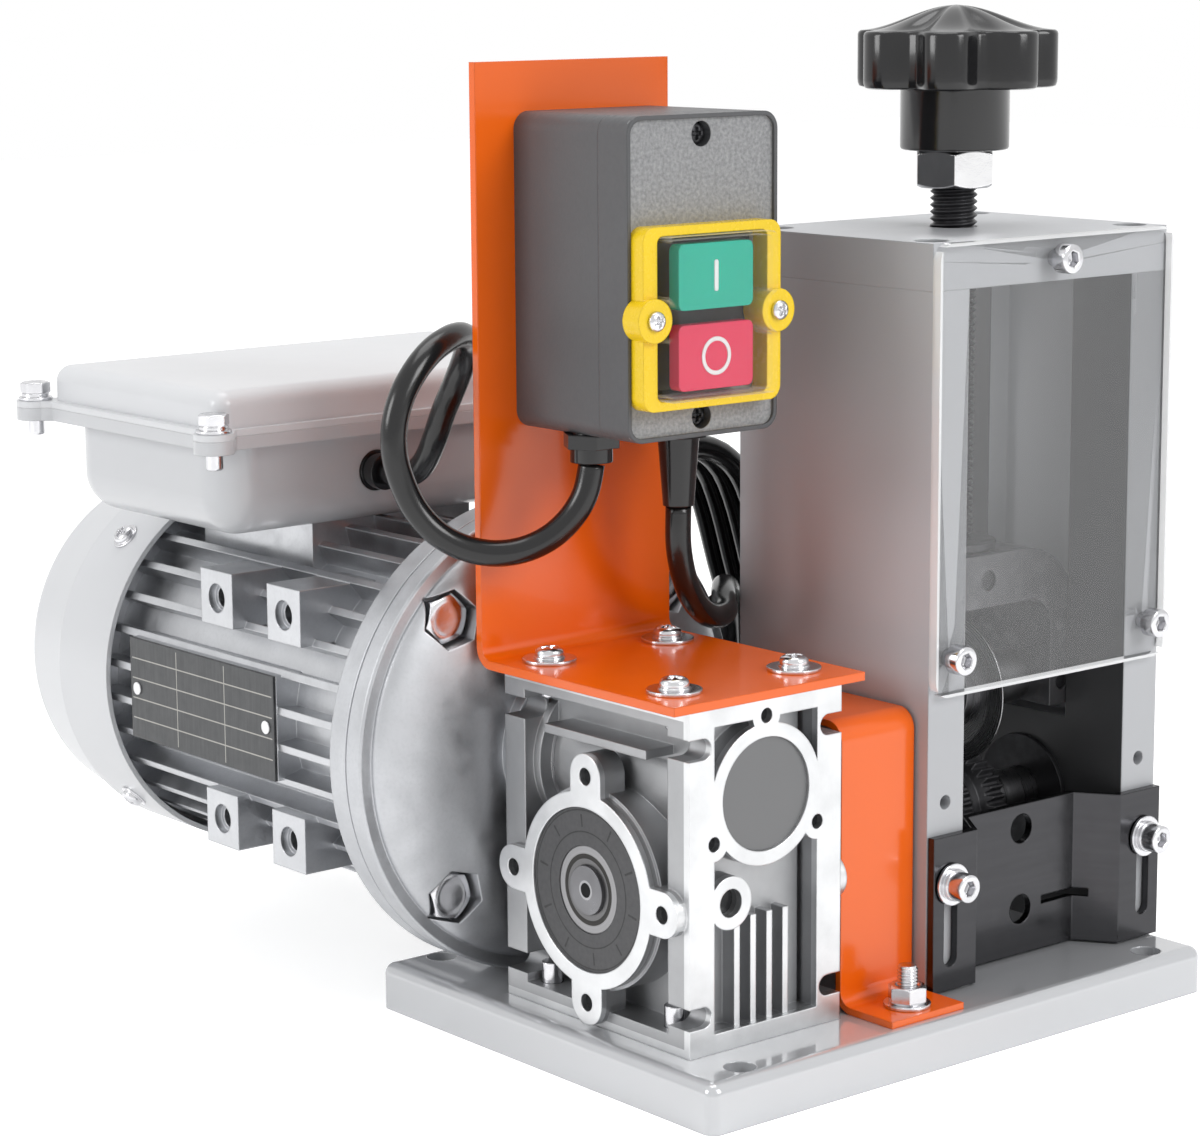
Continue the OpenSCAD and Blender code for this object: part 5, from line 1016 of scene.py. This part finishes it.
# This machine's finishes: who makes each, and what the maker takes after the name
FINISHES = {
    "base_paint": (powder_coat, (0.56, 0.57, 0.59), 0.15, 0.006, 1.0, 0.95, 0.3),
    "tower_paint": (powder_coat, (0.47, 0.48, 0.50), 0.40, 0.008, 0.05),
    # The third colour is the painted shade of the plates' inner faces.
    "plate_paint": (plate_coat_with_inner_shade, (0.47, 0.48, 0.50), (0.06, 0.061, 0.064)),
    "orange_paint": (powder_coat, (0.90, 0.135, 0.002), 0.22, 0.008, 0.2, 0.92),
    "cast_aluminium": (cast_metal, (0.77, 0.78, 0.79), 0.38, 0.012),
    "gear_casting": (gear_casting, (0.72, 0.73, 0.74), (0.40, 0.405, 0.415)),
    "flange_metal": (cast_metal, (0.50, 0.51, 0.53), 0.44, 0.010),
    "motor_paint": (cast_metal, (0.56, 0.57, 0.59), 0.36, 0.010),
    "tub_paint": (powder_coat, (0.58, 0.59, 0.61), 0.30, 0.006, 0.4),
    "cowl_paint": (powder_coat, (0.66, 0.67, 0.69), 0.34, 0.010, 0.2),
    "box_paint": (powder_coat, (0.70, 0.71, 0.73), 0.34, 0.008, 0.2),
    "cap_paint": (powder_coat, (0.15, 0.152, 0.156), 0.32, 0.006, 0.2),
    "steel": (turned_metal, (0.62, 0.62, 0.63), 0.28, (900, 60, 60)),
    "dark_steel": (turned_metal, (0.24, 0.24, 0.25), 0.34, (900, 60, 60)),
    "guide_steel": (turned_metal, (0.062, 0.062, 0.066), 0.20, (40, 40, 500), 0.001),
    "blade_steel": (ring_brushed, (0.50, 0.50, 0.51), 0.26, *BLADE_AXIS),
    "hub_steel": (ring_brushed, (0.26, 0.26, 0.27), 0.30, *BLADE_AXIS),
    "zinc_steel": (plated_steel, (0.66, 0.66, 0.68), 0.18),
    "chrome": (plated_steel, (0.90, 0.90, 0.91), 0.08),
    "yoke_steel": (black_oxide, (0.085, 0.085, 0.09), 0.36),
    "black_steel": (black_oxide, (0.035, 0.035, 0.038), 0.38),
    "core_iron": (laminated_iron, (0.20, 0.18, 0.16), 0.5),
    "wheel_metal": (wheel_metal,),
    "shaft_metal": (shaft_metal,),
    "seal_rubber": (seal_face,),
    "cord_rubber": (moulded_plastic, (0.006, 0.006, 0.0065), 0.20, 0.003, 1200),
    "tie_strap": (woven_strap, (0.016, 0.016, 0.018)),
    "black_plastic": (moulded_plastic, (0.010, 0.010, 0.011), 0.16, 0.003, 700),
    "dark_plastic": (moulded_plastic, GREY_PLASTIC, 0.45, 0.02, 1100),
    "cover_plastic": (switch_cover_plastic,),
    "switch_plastic": (moulded_plastic, (0.03, 0.03, 0.032), 0.45, 0.01),
    "yellow_plastic": (moulded_plastic, (0.93, 0.64, 0.012), 0.26, 0.003),
    "green_plastic": (moulded_plastic, (0.0, 0.43, 0.30), 0.22, 0.004),
    "red_plastic": (moulded_plastic, (0.74, 0.022, 0.085), 0.22, 0.004),
    "white_print": (moulded_plastic, (0.85, 0.85, 0.85), 0.4, 0.002),
    "pane_sheet": (clear_sheet, 0.07, 0.70, 0.06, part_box("clear_guard")),
    "cover_sheet": (clear_sheet, 0.02, 0.80, 0.04),
    "plate_metal": (ruled_plate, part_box("nameplate")),
}
MATS = {name: make(name, *facts) for name, (make, *facts) in FINISHES.items()}

# Nodes whose finish is another than their material slot's
FINISH_OF = {
    "gearbox_housing": "gear_casting", "worm_end_cap": "cap_paint", "worm_wheel": "wheel_metal",
    "output_shaft": "shaft_metal", "output_bearings": "steel", "motor_flange": "flange_metal",
    "terminal_tub": "tub_paint", "left_side_plate": "plate_paint", "right_side_plate": "plate_paint",
    "blade_yoke": "yoke_steel", "blade_axle": "dark_steel", "blade": "blade_steel",
    "blade_hub": "hub_steel", "wire_guide": "guide_steel", "switch_box_cover": "cover_plastic",
    "clear_guard": "pane_sheet", "switch_pane": "cover_sheet", "shaft_bearings": "black_steel"}


def wear(obj, mat):
    """Gives a piece one finish."""
    obj.data.materials.clear()
    obj.data.materials.append(mat)


def dress_nodes():
    """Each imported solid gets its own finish, or that of its slot in the record."""
    slot_of = {s["node"]: s["material_slot"] for s in frame["record"]["subparts"]}
    for node, obj in NODES.items():
        mat = MATS[FINISH_OF.get(node, slot_of[node])]
        if not obj.material_slots:
            obj.data.materials.append(mat)
        for slot in obj.material_slots:
            slot.material = mat


for finished, finish in LATER:
    wear(finished, MATS[finish])
dress_nodes()
wear(motor_lead, MATS["cord_rubber"])
wear(mains_cord, MATS["cord_rubber"])
wear(cord_strap, MATS["tie_strap"])

# Studio

FLOOR_HALF, FLOOR_GLOW, WORLD_GREY = 4000, 0.55, 0.48


def seen_ray(tree):
    """Socket that is 1 for camera, glossy and transmission rays and 0 for all others."""
    path = tree.nodes.new("ShaderNodeLightPath")
    seen = path.outputs["Is Camera Ray"]
    for ray in ("Is Glossy Ray", "Is Transmission Ray"):
        most = tree.nodes.new("ShaderNodeMath")
        most.operation = "MAXIMUM"
        tree.links.new(seen, most.inputs[0])
        tree.links.new(path.outputs[ray], most.inputs[1])
        seen = most.outputs[0]
    return seen


def make_floor():
    """Pale floor that shows nearly white to the camera and keeps the shadow."""
    h = FLOOR_HALF
    floor = mesh_piece("floor", [(-h, -h, 0), (h, -h, 0), (h, h, 0), (-h, h, 0)], [[0, 1, 2, 3]])
    f = Finish("floor_paint", (0.92, 0.92, 0.92), 0.7, edge=0, Emission_Color=(1, 1, 1, 1))
    f.tint(f.noise(3, 2.0), (0.90, 0.90, 0.90), 0.5)
    f.link(f.math("MULTIPLY", seen_ray(f.tree), FLOOR_GLOW), f.shader.inputs["Emission Strength"])
    wear(floor, f.mat)


def light_world():
    """White to the camera, to glossy and to clear surfaces, and an even grey to everything else."""
    world = bpy.data.worlds.new("studio")
    world.use_nodes = True
    bpy.context.scene.world = world
    tree = world.node_tree
    r = tree.nodes.new("ShaderNodeMapRange")
    r.inputs["To Min"].default_value = WORLD_GREY
    r.inputs["To Max"].default_value = 1.0
    tree.links.new(seen_ray(tree), r.inputs["Value"])
    background = tree.nodes["Background"]
    background.inputs["Color"].default_value = (1, 1, 1, 1)
    tree.links.new(r.outputs["Result"], background.inputs["Strength"])


def area_light(name, place, target, size, power):
    """Soft box at a place in metres that faces a target."""
    lamp = bpy.data.lights.new(name, "AREA")
    lamp.shape, lamp.size, lamp.energy = "SQUARE", size, power
    obj = bpy.data.objects.new(name, lamp)
    bpy.context.scene.collection.objects.link(obj)
    d = Vector(target) - Vector(place)
    obj.matrix_world = Matrix.Translation(place) @ d.to_track_quat("-Z", "Y").to_matrix().to_4x4()


make_floor()
light_world()
area_light("key", (0.45, -1.7, 1.15), (0, 0, 0.1), 0.9, 18)
area_light("side", (-1.8, 0.6, 0.9), (0, 0, 0.12), 0.8, 13)
area_light("top", (0.1, 0.2, 1.9), (0, 0, 0.1), 1.2, 12)
